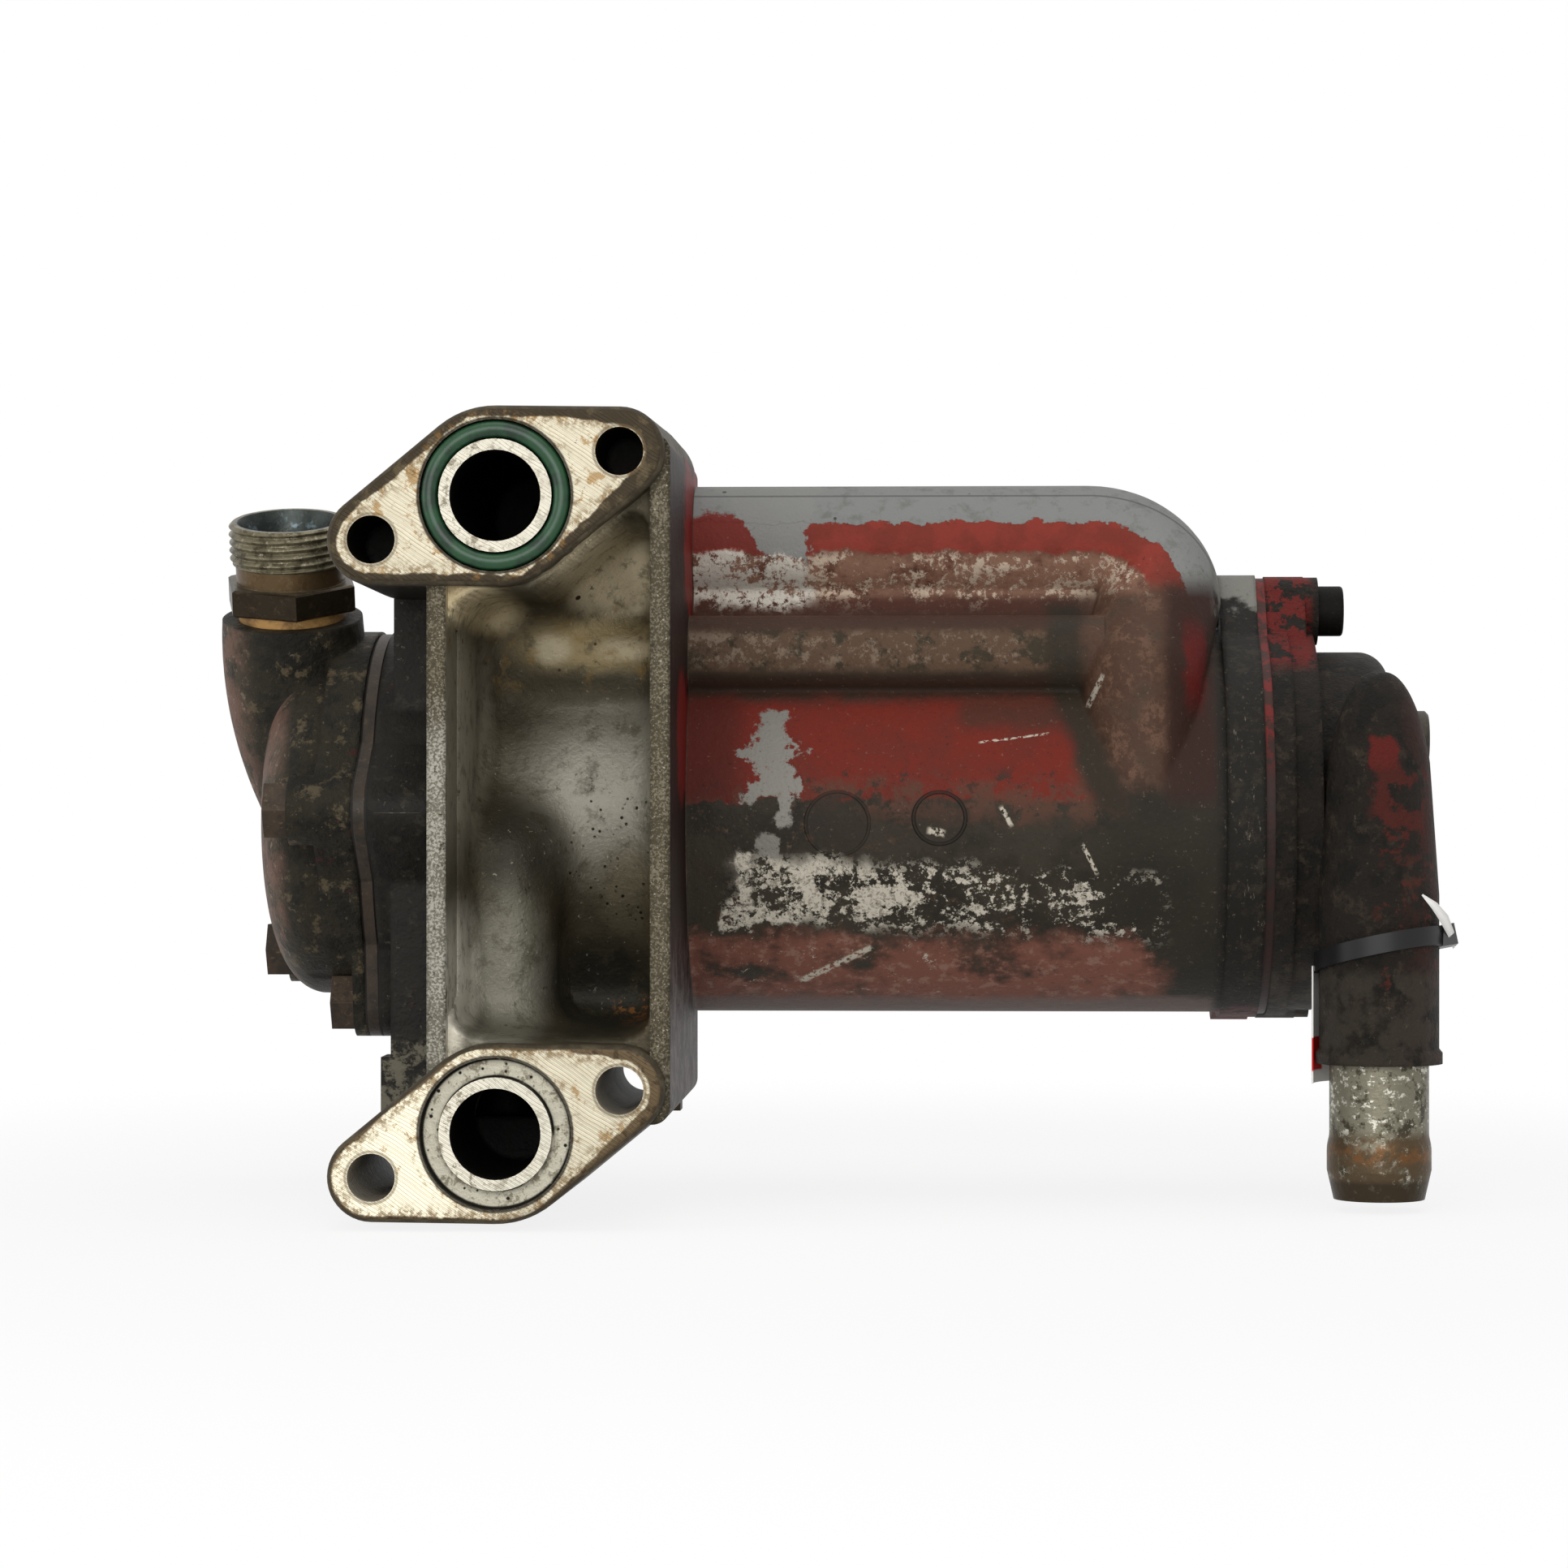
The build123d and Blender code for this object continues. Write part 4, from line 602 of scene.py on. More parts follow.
def milled_paint(look, jag, fine):
    """A machined port face with its cast rim, mill lines and stains. It gives back the mill lines."""
    port = Port(look)
    upper = port.upper
    slant = (look.x * 0.55) + (look.z * 0.84) + look.noise(20, 2) * 3
    lines = (slant * 7.3).sine() * 0.5 + (slant * 16.1).sine() * 0.3
    lines = lines + (look.noise(3, 8, 0.75) - 0.5) * 1.4
    look.paint((150, 140, 116), lines.step(0.1, 0.9) * 0.5)
    look.paint((216, 211, 194), lines.step(-0.2, -0.9) * 0.6)
    look.paint((240, 231, 205), upper.off() * look.x.step(4, -16) * 0.8)
    oil = look.noise(7, 9, 0.74) + upper * 0.02 + port.along.step(22, 38) * 0.02
    look.paint((150, 120, 76), oil.step(0.56, 0.61) * 0.85)
    look.paint((58, 46, 30), (look.noise(1.5, 8, 0.78) + upper * 0.02).step(0.61, 0.65) * 0.9)
    edge = port.edge() + jag * 0.2 + fine * 0.4 + upper * 1.1 + look.x.step(12, 36) * 2.0
    look.stain((120, 100, 68), (2.2, 9, 0.76), 0.46, 0.56, edge.step(-5.5, -1.8), 0.85)
    rim = edge.step(-1.7, -1.1)
    look.paint((88, 74, 54), rim)
    look.stain((54, 43, 28), (3, 8, 0.74), 0.5, 0.58, rim, 0.8)
    look.paint((54, 46, 34), rim * upper)
    look.stain((84, 73, 54), (4, 8, 0.7), 0.5, 0.62, rim * upper, 0.8)
    lip = port.middle - GROOVE_RADIUS - 0.1 + fine * 0.2
    look.stain((112, 84, 48), (3, 8, 0.75), 0.5, 0.6, lip.band(-0.5, 2.2, 0.9), 0.7)
    # A dark ring at the groove's edge: painted shade where the face drops into the groove
    look.paint((26, 22, 15), lip.abs().step(0.75, 0.3) * 0.9)
    land = port.middle.step(13.2, 12.9)
    look.paint((196, 192, 178), land * 0.8)
    look.stain((120, 112, 94), (3, 9, 0.76), 0.5, 0.58, land * look.x.step(8, -8).between(0.4, 0.9))
    look.paint((90, 76, 54), (port.hole - BOLT_HOLE_RADIUS - 0.4).abs().step(0.5, 0.15) * 0.6)
    return lines


def hole_paint(look, fine):
    """The grooves, bores and bolt holes behind the port faces, with painted shade in them."""
    port = Port(look)
    near = look.y.step(56, 50)
    groove = port.middle.step(GROOVE_RADIUS + 0.3, GROOVE_RADIUS + 0.1) * look.y.step(6, 5)
    look.paint((196, 191, 172), groove)
    look.stain((112, 104, 84), (2.5, 8, 0.74), 0.5, 0.6, groove, 0.8)
    look.paint((24, 21, 15), groove * look.specks(2.6).step(0.2, 0.12))
    # Dark crescents at the groove's inner and outer walls, and the upper groove darkened round its O-ring:
    # painted shade
    dark = groove * port.middle.step(16.4, 16.9).cover(port.middle.step(13.5, 13.1))
    look.paint((26, 23, 16), dark * (look.noise(9, 4) + look.x.step(6, -10) * 0.2).step(0.38, 0.48))
    look.paint((44, 40, 30), groove * port.upper)
    # The port bores painted near black: painted shade deep inside them
    bore = port.middle.step(PORT_BORE_RADIUS + 0.4, PORT_BORE_RADIUS + 0.1) * look.ny.step(0.5, 0.2)
    look.paint((16, 15, 13), bore)
    wall = port.hole.step(BOLT_HOLE_RADIUS + 0.3, BOLT_HOLE_RADIUS + 0.1) * near
    look.paint((180, 172, 156), wall)
    # Dark rings down the bolt holes' walls: painted shade of the threads
    look.paint((84, 74, 58), wall * (look.y * 3.6 + fine * 3).sine().step(0.0, 0.6) * 0.8)
    # The blind upper bolt holes painted near black: painted shade
    look.paint((22, 19, 15), wall * port.upper)


def right_flange_paint(look, jag):
    """The right end flange, grimy, with grey paint on top."""
    flange = look.x.step(165.5, 168.5)
    look.paint((24, 21, 17), flange)
    look.stain((46, 41, 33), (4, 9, 0.75), 0.5, 0.62, flange, 0.8)
    look.paint((124, 123, 116), flange * (look.z + jag * 1.5).step(-23, -20))
    look.stain((122, 118, 110), (4, 6), 0.4, 0.6, flange * (look.z + jag * 1.5).step(-14, -4))
    chips = look.noise(2.0, 7, 0.8, look.stretched(1.8, 1, 0.35))
    look.paint((118, 111, 96), flange * chips.step(0.61, 0.66) * look.z.step(-36, -50))
    look.stain((96, 62, 60), (6, 7, 0.7), 0.46, 0.56, flange * look.z.step(-119, -122))


def behind_paint(look, jag, where):
    """Grime and worn red on the far side, which the photograph doesn't show. It gives back its mask."""
    behind = (look.y + jag * 1.5).step(104, 107) * where
    look.paint((52, 44, 35), behind)
    look.stain((98, 40, 31), (24, 9, 0.62), 0.5, 0.53, behind, 0.9)
    look.stain((40, 35, 28), (7, 9, 0.74), 0.52, 0.6, behind, 0.8)
    return behind


def left_end_paint(look):
    left = look.x.step(PLATE_LEFT + 0.2, PLATE_LEFT - 0.4) * look.y.step(3.0, 8.0)
    look.paint((31, 28, 23), left)
    look.stain((20, 19, 16), (6, 7, 0.68), 0.46, 0.62, left, 0.8)
    look.stain((54, 50, 41), (5, 9, 0.74), 0.54, 0.64, left, 0.8)
    look.stain((112, 107, 92), (4, 8, 0.74), 0.46, 0.56, left * look.z.step(-126, -129), 0.9)
    look.stain((104, 99, 87), (14, 3), 0.42, 0.6, left * look.noise(1.8, 9, 0.78).step(0.6, 0.65))
    look.stain((70, 32, 30), (9, 5, 0.6), 0.62, 0.7, left, 0.5)


def jagged(look):
    """Two wandering offsets in millimetres, a broad one and a fine one, for ragged edges."""
    return (look.noise(9, 8, 0.62) - 0.5) * 14, (look.noise(2.0, 7, 0.7) - 0.5) * 2


def cast_grain(look):
    return look.noise(0.9, 3, 0.6) * 0.6 + look.noise(5, 4, 0.6) * 1.2


def shell_surface(host):
    """Everything right of the bracket."""
    look = Look(None, (52, 46, 37), host)
    jag, fine = jagged(look)
    look.stain((36, 32, 25), (12, 7, 0.65), 0.42, 0.62)
    look.paint((74, 58, 46), look.noise(6, 9, 0.72).step(0.55, 0.66) * look.x.step(135, 110) * 0.7)
    look.paint((36, 33, 26), look.x.step(126, 146) * 0.75)
    look.stain((90, 82, 68), (3.0, 10, 0.78), 0.61, 0.66, strength=0.7)
    bare = shell_paint(look, jag, fine)
    cream, primer = duct_paint(look, jag, fine)
    gallery_paint(look, jag)
    marks = small_marks(look, fine * 0.5)
    right_flange_paint(look, jag)
    grit = look.noise(1.3, 8, 0.8)
    below = look.z.step(-4, -12)
    look.paint((32, 27, 21), grit.step(0.58, 0.64) * below * 0.6)
    look.paint((150, 134, 114), grit.step(0.39, 0.35) * below * 0.35)
    behind = behind_paint(look, jag, primer.off())
    metal = (bare + cream + marks).hold() * behind.off() * 0.3
    front = look.y.step(100, 90)
    rings = ring_mask(look, *LEFT_MARK) * front * 0.5
    rings = rings.cover(ring_mask(look, *RIGHT_MARK) * front)
    look.paint((30, 26, 21), rings * 0.75)
    look.finish(metal, metal.between(0.62, 0.42), cast_grain(look) + rings * 1.6 + primer * 0.3, 0.3, 2.2)
    return look


def milled_surface(host):
    look = Look(None, (190, 182, 160), host)
    lines = milled_paint(look, *jagged(look))
    look.finish(0.5, 0.48, lines * 0.15, 0.3)
    return look


def cast_housing():
    """The casting: its bracket end, with the shell and the milled faces joined on as own surfaces."""
    # Real wear and stains, with painted highlights and painted shade in the bracket, creases and holes
    look = Look("cast_housing_worn_with_painted_light", (58, 51, 39))
    jag, fine = jagged(look)
    look.stain((80, 72, 56), (6, 7, 0.7), 0.45, 0.62)
    behind_paint(look, jag, look.z.step(4, 2))
    left_end_paint(look)
    inside = bracket_paint(look, jag)
    front = plate_paint(look, jag, fine)
    hole_paint(look, fine)
    metal = (inside * 0.35).cover(front * 0.4)
    look.finish(metal, 0.52, cast_grain(look), 0.3, 2.2)
    look.join(shell_surface(look), look.x.step(PLATE_RIGHT + 0.1, PLATE_RIGHT + 0.3))
    look.join(milled_surface(look), look.y.step(0.25, 0.1) * look.ny.step(-0.8, -0.95))
    return look.material


def bracket_skin_look():
    look = Look("cast_bracket_inside", (78, 71, 56))
    jag, _ = jagged(look)
    bracket_paint(look, jag)
    return look.finish(0.35, 0.52, cast_grain(look), 0.3)


def cast_left_cover():
    look = Look("cast_left_cover_worn", (42, 38, 29))
    jag, _ = jagged(look)
    look.stain((26, 24, 18), (9, 8, 0.68), 0.45, 0.6)
    look.stain((88, 78, 59), (7, 9, 0.72), 0.55, 0.62, strength=0.85)
    look.stain((132, 122, 100), (1.7, 9, 0.8), 0.64, 0.68, strength=0.8)
    side = look.nx.step(-0.4, -0.9)
    look.stain((84, 73, 59), (8, 8, 0.7), 0.38, 0.56, side, 0.9)
    look.stain((108, 82, 70), (9, 8, 0.7), 0.44, 0.58, side, 0.9)
    look.stain((152, 130, 114), (2.4, 9, 0.77), 0.57, 0.62, side, 0.7)
    look.stain((112, 104, 88), (2.4, 10, 0.79), 0.61, 0.66, strength=0.8)
    look.stain((72, 28, 26), (8, 6, 0.6), 0.62, 0.67, (look.x + jag * 0.3).band(-49, -39, 1), 0.5)
    grain = look.noise(1.0, 5, 0.65) * 0.8 + look.noise(5, 6, 0.65) * 1.8
    return look.finish(0.1, 0.55, grain, 0.6, 1.8)


def cast_right_cover():
    look = Look("cast_right_cover_worn", (33, 28, 23))
    x, z = look.x, look.z
    jag, fine = jagged(look)
    look.stain((22, 20, 16), (9, 8, 0.68), 0.45, 0.6)
    look.stain((58, 49, 40), (5, 9, 0.74), 0.53, 0.63, strength=0.85)
    look.stain((52, 32, 25), (7, 7, 0.7), 0.42, 0.58, x.step(206, 214), 0.9)
    look.stain((92, 86, 72), (1.9, 10, 0.8), 0.62, 0.66, strength=0.8)
    chipped = look.noise(7, 10, 0.68)
    look.paint((104, 36, 32), chipped.step(0.46, 0.5) * x.step(193, 190) * (z + jag * 0.4).step(-40, -34))
    first = patch(look, jag * 0.8 + fine * 2, 200.5, 208, -62.5, -55, 0.8) * chipped.step(0.4, 0.44)
    second = patch(look, jag * 1.3 + fine * 2, 202, 215, -84, -61, 2.0) * chipped.step(0.49, 0.54) * 0.85
    look.paint((94, 33, 28), first)
    look.paint((80, 34, 28), second)
    look.stain((76, 38, 30), (6, 8, 0.7), 0.56, 0.62, (z + jag).band(-132, -84, 6) * x.step(200, 208))
    look.stain((60, 54, 46), (7, 7, 0.65), 0.4, 0.56, z.step(-108, -112), 0.8)
    look.stain((92, 84, 70), (2.2, 9, 0.78), 0.6, 0.65, z.step(-108, -112), 0.7)
    grain = look.noise(1.0, 5, 0.68) * 1.1 + look.noise(5, 6, 0.65) * 1.8
    return look.finish(0.1, 0.6, grain, 0.75, 1.8)


def worn_metal(name, color, dark, light, metallic, rough=0.5, shine=0.3):
    """A plain piece with darker blotches and lighter flecks."""
    look = Look(name, color)
    look.paint(dark, look.noise(5, 7, 0.65).step(0.44, 0.62) * 0.8)
    look.paint(light, look.noise(1.8, 8, 0.75).step(0.58, 0.64) * 0.7)
    return look.finish(metallic, rough, look.noise(1.0, 4, 0.6), 0.12, 0.3, shine)


def plain(name, color, metallic, rough):
    return Look(name, color).finish(metallic, rough, shine=0.3)


def spigot_steel():
    look = Look("spigot_steel_worn", (120, 116, 100))
    look.stain((54, 49, 36), (4.5, 9, 0.74), 0.5, 0.58, strength=0.9)
    look.paint((204, 201, 187), look.noise(2.4, 9, 0.77, look.stretched(0.8, 1, 1.2)).step(0.55, 0.59))
    low = look.z.step(-147, -150)
    look.stain((82, 68, 50), (5, 6, 0.6), 0.3, 0.5, low)
    look.stain((112, 76, 44), (4, 6, 0.65), 0.44, 0.58, look.z.band(-155, -151, 1.2), 0.8)
    look.stain((150, 142, 122), (2.2, 9, 0.78), 0.6, 0.64, low, 0.8)
    look.paint((48, 40, 29), look.z.step(-158.5, -160.5) * 0.8)
    return look.finish(0.5, 0.42, look.noise(1.2, 4, 0.6), 0.15, 0.3)


def union_zinc():
    look = Look("union_zinc", (112, 106, 86))
    tilt = (look.z * math.cos(PIPE_TILT)) - ((look.y - AXIS_BACK) * math.sin(PIPE_TILT))
    along = tilt - AXIS_HEIGHT * math.cos(PIPE_TILT)
    look.stain((64, 58, 43), (3.5, 7, 0.7), 0.45, 0.6, strength=0.85)
    look.stain((160, 152, 130), (1.6, 7, 0.75), 0.55, 0.61, strength=0.7)
    look.paint((84, 64, 40), along.band(UNION_NECK_START, UNION_THREAD_START, 0.5) * 0.85)
    hexagon = along.band(UNION_HEX_START, UNION_NECK_START, 0.3)
    look.paint((40, 32, 23), hexagon * 0.95)
    look.stain((66, 54, 40), (2.4, 7, 0.7), 0.56, 0.62, hexagon, 0.8)
    back = ((look.y - AXIS_BACK) * math.cos(PIPE_TILT)) + ((look.z - AXIS_HEIGHT) * math.sin(PIPE_TILT))
    within = distance(look.x - PIPE_X, back).step(UNION_MOUTH_RADIUS + 0.5, UNION_MOUTH_RADIUS)
    look.paint((44, 52, 53), within * 0.9)
    # Soft painted highlights on the mouth's inside
    look.stain((112, 128, 134), (5, 4), 0.56, 0.64, within, 0.6)
    return look.finish(0.6, 0.36, look.noise(1.0, 4, 0.6), 0.08, 0.2)


def tag_paper():
    look = Look("tag_paper_striped", (236, 234, 230))
    look.paint((206, 34, 34), look.x.step(192.4, 191.8) * look.z.band(-134, -126, 0.3))
    return look.finish(0.0, 0.7)


def rubber_green():
    look = Look("o_ring_green_oiled", (26, 66, 38))
    look.stain((14, 34, 22), (6, 5), 0.45, 0.62, strength=0.8)
    return look.finish(0.0, 0.36, look.noise(0.8, 3), 0.04, shine=0.4)


def lantern_red():
    look = Look("lantern_ring_red", (104, 36, 33))
    look.stain((50, 36, 31), (5, 8, 0.7), 0.46, 0.54, strength=0.9)
    look.paint((34, 29, 25), look.z.step(-50, -66) * 0.9)
    return look.finish(0.1, 0.5, look.noise(1.0, 3), 0.1)


def node_looks():
    """The material for each slot, and for some nodes of their own."""
    slots = {
        "cast_housing": cast_housing(),
        "cast_left_cover": cast_left_cover(),
        "cast_right_cover": cast_right_cover(),
        "tube_sheet_metal": worn_metal("tube_sheet_grimy", (58, 48, 38), (38, 33, 26), (88, 76, 60), 0.2),
        "tube_metal": plain("tube_brass", (170, 142, 96), 1.0, 0.35),
        "zinc_steel": union_zinc(),
        "bolt_steel": worn_metal("bolt_rusty", (62, 50, 38), (40, 32, 25), (104, 86, 66), 0.3),
        "spigot_steel": spigot_steel(),
        "plug_steel": worn_metal("plug_dull", (62, 56, 47), (40, 36, 30), (96, 88, 74), 0.4),
        # Its tan is lighter than the washer's own colour: painted light against the shade under the hexagon
        "washer_copper": worn_metal("washer_tan", (186, 144, 88), (120, 92, 58), (210, 180, 128), 0.3),
        "gasket_fibre": plain("gasket_fibre_dark", (30, 28, 25), 0.0, 0.8),
        "ring_red": lantern_red(),
        "o_ring_green": rubber_green(),
        "seal_black": plain("seal_rubber", (24, 24, 24), 0.0, 0.5),
        "tie_plastic": plain("tie_nylon", (20, 20, 21), 0.0, 0.35),
        "tag_paper": tag_paper(),
        "baffle_metal": plain("baffle_sheet", (150, 132, 96), 1.0, 0.4),
    }
    black = worn_metal("bolt_black", (15, 13, 11), (9, 8, 7), (36, 32, 26), 0.0, 0.6, shine=0.08)
    own = {name: black for name in frame["nodes"] if name.startswith("right_cover_bolt")}
    return slots, own


def dress_nodes():
    slots, own = node_looks()
    for name, node in frame["nodes"].items():
        look = own.get(name) or slots[slot_of(name)]
        node.data.materials.clear()
        node.data.materials.append(look)
    return slots


def slot_of(name):
    for part in frame["record"]["subparts"]:
        if part["node"] == name:
            return part["material_slot"]
    return None


def add_mesh(name, points, faces, look, smooth=False):
    mesh = bpy.data.meshes.new(name)
    mesh.from_pydata([tuple(value * MM for value in point) for point in points], [], faces)
    mesh.validate()
    mesh.materials.append(look)
    for polygon in mesh.polygons:
        polygon.use_smooth = smooth
    piece = bpy.data.objects.new(name, mesh)
    bpy.context.collection.objects.link(piece)
    return piece


def on_pipe(along, radius, angle):
    """A point round the union's tilted line."""
    side, forward = radius * math.cos(angle), radius * math.sin(angle)
    lean, rise = math.sin(PIPE_TILT), math.cos(PIPE_TILT)
    return (
        PIPE_X + side,
        AXIS_BACK - along * lean + forward * rise,
        AXIS_HEIGHT + along * rise + forward * lean,
    )


def thread_radius(along, angle):
    """The thread's radius at a place on its helix, fading in at both ends."""
    phase = (along / UNION_THREAD_PITCH - angle / (2 * math.pi)) % 1.0
    radius = UNION_THREAD_RADIUS - UNION_THREAD_DEPTH * abs(2 * phase - 1)
    room = min(along - UNION_THREAD_START, UNION_RIM - along)
    crest = UNION_THREAD_RADIUS - max(0.0, UNION_THREAD_LEAD - room)
    return min(radius, crest)


def union_profile():
    """The union's outline as rows of (along, radius). The radius is None where the thread gives it."""
    rows = [(UNION_SHANK_START, UNION_SHANK_RADIUS), (UNION_HEX_START, UNION_SHANK_RADIUS)]
    rows += [(UNION_HEX_START, UNION_NECK_RADIUS), (UNION_THREAD_START, UNION_NECK_RADIUS)]
    for step in range(UNION_THREAD_ROWS + 1):
        along = UNION_THREAD_START + (UNION_RIM - UNION_THREAD_START) * step / UNION_THREAD_ROWS
        rows.append((along, None))
    rows += [(UNION_RIM, UNION_MOUTH_RADIUS), (UNION_CONE_START, UNION_BORE_RADIUS)]
    rows.append((UNION_SHANK_START, UNION_BORE_RADIUS))
    return rows


def ring_faces(low, high, count):
    """The faces between two rings of points, each given by the number of its first point."""
    pairs = [(side, (side + 1) % count) for side in range(count)]
    return [(low + side, low + beside, high + beside, high + side) for side, beside in pairs]


def union_mesh(look):
    points, faces = [], []
    rows = union_profile()
    for along, radius in rows:
        for turn in range(UNION_TURNS):
            angle = 2 * math.pi * turn / UNION_TURNS
            reach = thread_radius(along, angle) if radius is None else radius
            points.append(on_pipe(along, reach, angle))
    for row in range(len(rows)):
        after = (row + 1) % len(rows)
        faces += ring_faces(row * UNION_TURNS, after * UNION_TURNS, UNION_TURNS)
    first = len(points)
    corner = UNION_HEX_FLATS / 2 / math.cos(math.pi / 6)
    worn = corner - UNION_CHAMFER_DEPTH
    for along, radius in (
        (UNION_HEX_START, worn), (UNION_HEX_START + UNION_CHAMFER_LENGTH, corner),
        (UNION_NECK_START - UNION_CHAMFER_LENGTH, corner), (UNION_NECK_START, worn),
    ):
        for side in range(6):
            points.append(on_pipe(along, radius, UNION_HEX_TURN + math.pi / 6 + side * math.pi / 3))
    for ring in range(3):
        faces += ring_faces(first + ring * 6, first + (ring + 1) * 6, 6)
    faces.append(tuple(first + side for side in reversed(range(6))))
    faces.append(tuple(first + 18 + side for side in range(6)))
    piece = add_mesh("union_with_thread", points, faces, look, True)
    piece.data.set_sharp_from_angle(angle=UNION_SHARP_ANGLE)
    return piece


def smooth_union(*distances):
    """The distance to several forms whose meetings are filled with a soft fillet."""
    total = distances[0]
    for other in distances[1:]:
        share = max(SKIN_FILLET - abs(total - other), 0) / SKIN_FILLET
        total = min(total, other) - share * share * SKIN_FILLET / 4
    return total


def to_segment(point, start, end, radius):
    """Distance from a point to a rod with round ends."""
    point, start, end = Vector(point), Vector(start), Vector(end)
    run = end - start
    share = min(max((point - start).dot(run) / run.length_squared, 0), 1)
    return (point - start - run * share).length - radius


def to_flange(x, y, up, depth):
    """Distance to the body of a port flange, from a point given relative to its port."""
    lean = (FLANGE_CENTRE_RADIUS - FLANGE_EAR_RADIUS) / EAR_REACH
    rise = math.sqrt(1 - lean * lean)
    along = abs(x * math.cos(FLANGE_TILT) + up * math.sin(FLANGE_TILT))
    aside = abs(up * math.cos(FLANGE_TILT) - x * math.sin(FLANGE_TILT))
    if along * rise - aside * lean > EAR_REACH * rise:
        outline = math.hypot(along - EAR_REACH, aside) - FLANGE_EAR_RADIUS
    else:
        outline = along * lean + aside * rise - FLANGE_CENTRE_RADIUS
    return max(outline - y * FLANGE_WIDENING, y - depth)


def to_bracket(x, y, z):
    """Distance to the forms inside the bracket."""
    shell = math.hypot(y - AXIS_BACK, z - AXIS_HEIGHT) - SHELL_RADIUS
    ridge = math.hypot(y - RIDGE_PLACE[0], z - RIDGE_PLACE[1]) - RIDGE_RADIUS
    duct = math.hypot(y - DUCT_BACK, z - DUCT_HEIGHT) - DUCT_RADIUS
    riser = to_segment((x, y, z), *RISER)
    shoulder = to_segment((x, y, z), *UPPER_SHOULDER)
    web = max(WEB_BACK - y, z - WEB_TOP)
    upper = to_flange(x, y, z - PORT_HEIGHTS[0], UPPER_FLANGE_DEPTH)
    lower = to_flange(x, y, z - PORT_HEIGHTS[1], LOWER_FLANGE_DEPTH)
    walls = (x - PLATE_LEFT_INSIDE, PLATE_RIGHT_INSIDE - x)
    return smooth_union(shell, ridge, duct, riser, shoulder, web, upper, lower, *walls)


def outside_flanges(point):
    """Whether a point is clear of the port flanges' bodies, or only just inside them."""
    x, y, z = point
    return all(
        to_flange(x, y, z - height, depth) > -SKIN_OVERLAP
        for height, depth in zip(PORT_HEIGHTS, (UPPER_FLANGE_DEPTH, LOWER_FLANGE_DEPTH))
    )


def skin_depth(x, z):
    """How far back the first surface lies at a place seen from the front."""
    y = SKIN_FRONT
    for _ in range(SKIN_STEPS):
        gap = to_bracket(x, y, z) - SKIN_LIFT
        if gap < SKIN_NEAR or y > SKIN_BACK:
            break
        y += max(gap * SKIN_STRIDE, SKIN_NEAR)
    return y


def bracket_skin(look):
    """The cast inside of the bracket with its soft fillets, a sheet just in front of the plain forms."""
    left, right = PLATE_LEFT_INSIDE + SKIN_MARGIN, PLATE_RIGHT_INSIDE - SKIN_MARGIN
    across = [left + (right - left) * column / SKIN_COLUMNS for column in range(SKIN_COLUMNS + 1)]
    points, faces = [], []
    for row in range(SKIN_ROWS + 1):
        z = SKIN_TOP + (SKIN_BOTTOM - SKIN_TOP) * row / SKIN_ROWS
        depths = [skin_depth(x, z) for x in across]
        points.append((PLATE_LEFT_INSIDE - SKIN_MARGIN, depths[0] - SKIN_MARGIN, z))
        points += [(x, y, z) for x, y in zip(across, depths)]
        points.append((PLATE_RIGHT_INSIDE + SKIN_MARGIN, depths[-1] - SKIN_MARGIN, z))
    width = SKIN_COLUMNS + 3
    for row in range(SKIN_ROWS):
        for column in range(width - 1):
            here = row * width + column
            face = (here, here + width, here + width + 1, here + 1)
            if any(outside_flanges(points[corner]) for corner in face):
                faces.append(face)
    return add_mesh("bracket_inside", points, faces, look, True)


def tie_tail(look):
    """The loose pale end at the tie's head, curving up."""
    points, faces = [], []
    for (x, y, z), width in zip(TAIL_PATH, TAIL_WIDTHS):
        half = width / 2
        for side, depth in ((-half, 0), (half, 0), (half, TAIL_THICKNESS), (-half, TAIL_THICKNESS)):
            points.append((x + side, y + depth, z + side))
    for ring in range(len(TAIL_PATH) - 1):
        faces += ring_faces(ring * 4, (ring + 1) * 4, 4)
    faces.append((3, 2, 1, 0))
    last = len(points) - 4
    faces.append((last, last + 1, last + 2, last + 3))
    return add_mesh("tag_tail", points, faces, look, True)


def background_mix(tree, shaded, seen, far=None):
    """Shows the seen shader to camera, glossy and transmission rays, and the shaded one to the rest."""
    path = tree.nodes.new("ShaderNodeLightPath")
    kinds = ("Is Camera Ray", "Is Glossy Ray", "Is Transmission Ray")
    camera, glossy, through = (Wire(tree, path.outputs[kind]) for kind in kinds)
    rays = (camera + glossy + through).hold()
    if far is not None:
        rays = rays * far.between(FLOOR_GLOW, 1.0)
    mix = tree.nodes.new("ShaderNodeMixShader")
    tree.links.new(rays.socket, mix.inputs[0])
    tree.links.new(shaded, mix.inputs[1])
    tree.links.new(seen, mix.inputs[2])
    return mix.outputs[0]


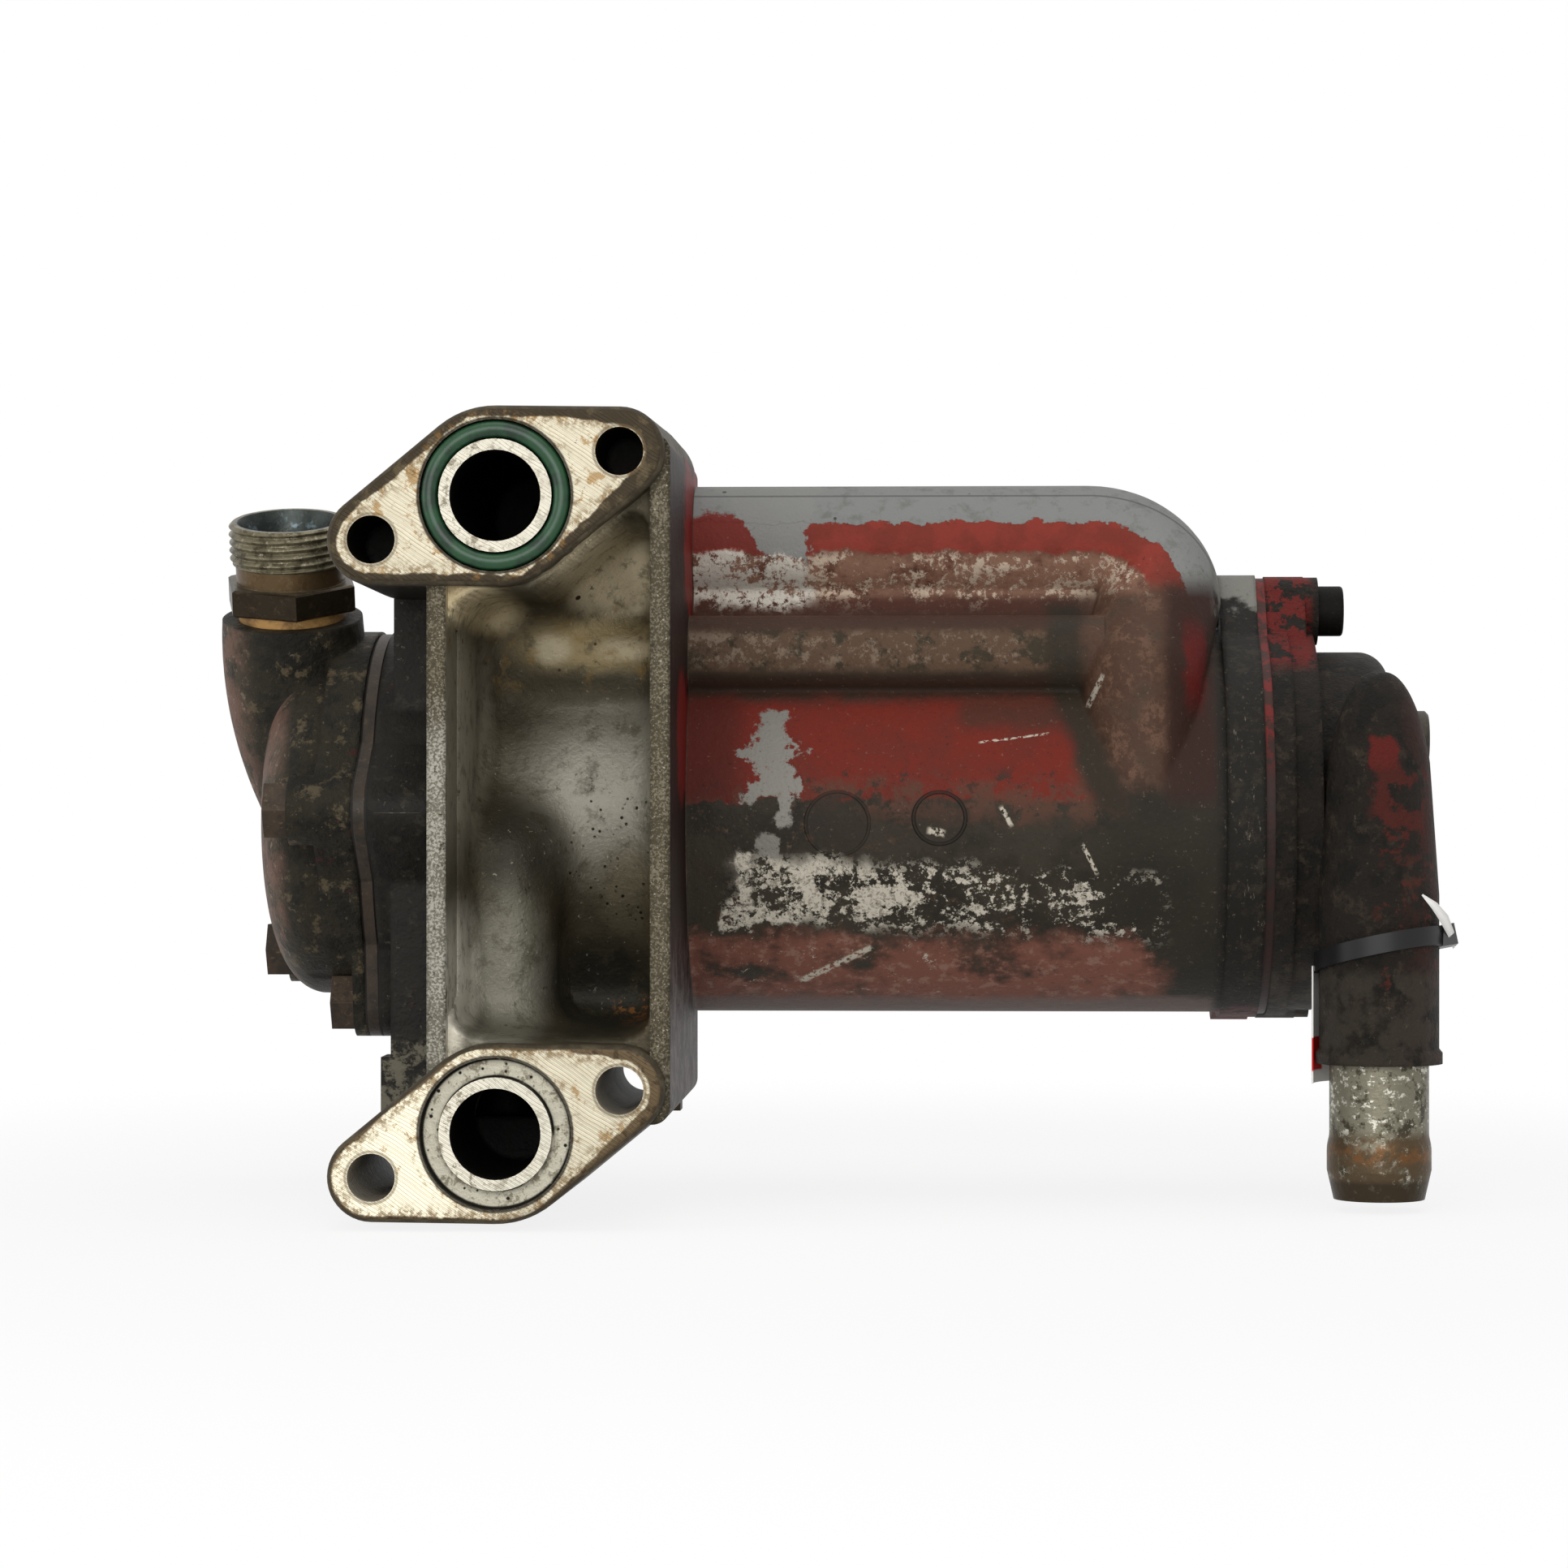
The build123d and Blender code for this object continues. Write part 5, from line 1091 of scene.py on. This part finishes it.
def add_floor():
    """A pale floor that keeps the part's shadow near it and goes over to plain white further off."""
    material = bpy.data.materials.new("floor_white")
    material.use_nodes = True
    tree = material.node_tree
    shader = tree.nodes["Principled BSDF"]
    shader.inputs["Base Color"].default_value = (FLOOR_GREY, FLOOR_GREY, FLOOR_GREY, 1)
    shader.inputs["Roughness"].default_value = 1.0
    shader.inputs["Specular IOR Level"].default_value = 0.0
    white = tree.nodes.new("ShaderNodeEmission")
    white.inputs["Color"].default_value = (1, 1, 1, 1)
    geometry = tree.nodes.new("ShaderNodeNewGeometry")
    split = tree.nodes.new("ShaderNodeSeparateXYZ")
    tree.links.new(geometry.outputs["Position"], split.inputs[0])
    across, back = Wire(tree, split.outputs[0]) - MIDDLE[0], Wire(tree, split.outputs[1]) - MIDDLE[1]
    far = distance(across, back).step(FLOOR_SHADOW_NEAR, FLOOR_SHADOW_FAR)
    out = tree.nodes["Material Output"]
    tree.links.new(background_mix(tree, shader.outputs[0], white.outputs[0], far), out.inputs[0])
    half = FLOOR_HALF_WIDTH / MM
    corners = [(x * half, y * half, FLOOR_HEIGHT / MM) for x, y in ((-1, -1), (1, -1), (1, 1), (-1, 1))]
    add_mesh("floor", corners, [(0, 1, 2, 3)], material)


def add_world():
    world = bpy.data.worlds.new("studio")
    bpy.context.scene.world = world
    world.use_nodes = True
    tree = world.node_tree
    tree.nodes.clear()
    out = tree.nodes.new("ShaderNodeOutputWorld")
    shades = []
    for strength in (WORLD_LIGHT, 1.0):
        shade = tree.nodes.new("ShaderNodeBackground")
        shade.inputs[0].default_value = (1, 1, 1, 1)
        shade.inputs[1].default_value = strength
        shades.append(shade.outputs[0])
    tree.links.new(background_mix(tree, *shades), out.inputs[0])


def add_softbox(name, place, size, power):
    data = bpy.data.lights.new(name, "AREA")
    data.shape = "RECTANGLE"
    data.size, data.size_y = size
    data.energy = power
    lamp = bpy.data.objects.new(name, data)
    lamp.location = place
    heading = Vector(MIDDLE) - Vector(place)
    lamp.rotation_euler = heading.to_track_quat("-Z", "Y").to_euler()
    bpy.context.collection.objects.link(lamp)


def add_camera():
    data = bpy.data.cameras.new("camera")
    data.sensor_width = SENSOR_WIDTH
    data.lens = data.sensor_width * FOCAL_PIXELS / PHOTO_SIZE
    data.clip_start, data.clip_end = CLIP_NEAR, CLIP_FAR
    camera = bpy.data.objects.new("camera", data)
    camera.location = CAMERA_PLACE
    camera.rotation_euler = (math.pi / 2 - CAMERA_PITCH, 0, CAMERA_YAW)
    bpy.context.collection.objects.link(camera)
    bpy.context.scene.camera = camera


slots = dress_nodes()
union = union_mesh(slots["zinc_steel"])
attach(union, "root")
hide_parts("union_fitting")
skin = bracket_skin(bracket_skin_look())
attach(skin, "root")
tail = tie_tail(slots["tag_paper"])
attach(tail, "root")

add_floor()
add_world()
for light in SOFTBOXES:
    add_softbox(*light)
add_camera()
bpy.context.scene.view_settings.view_transform = "Standard"
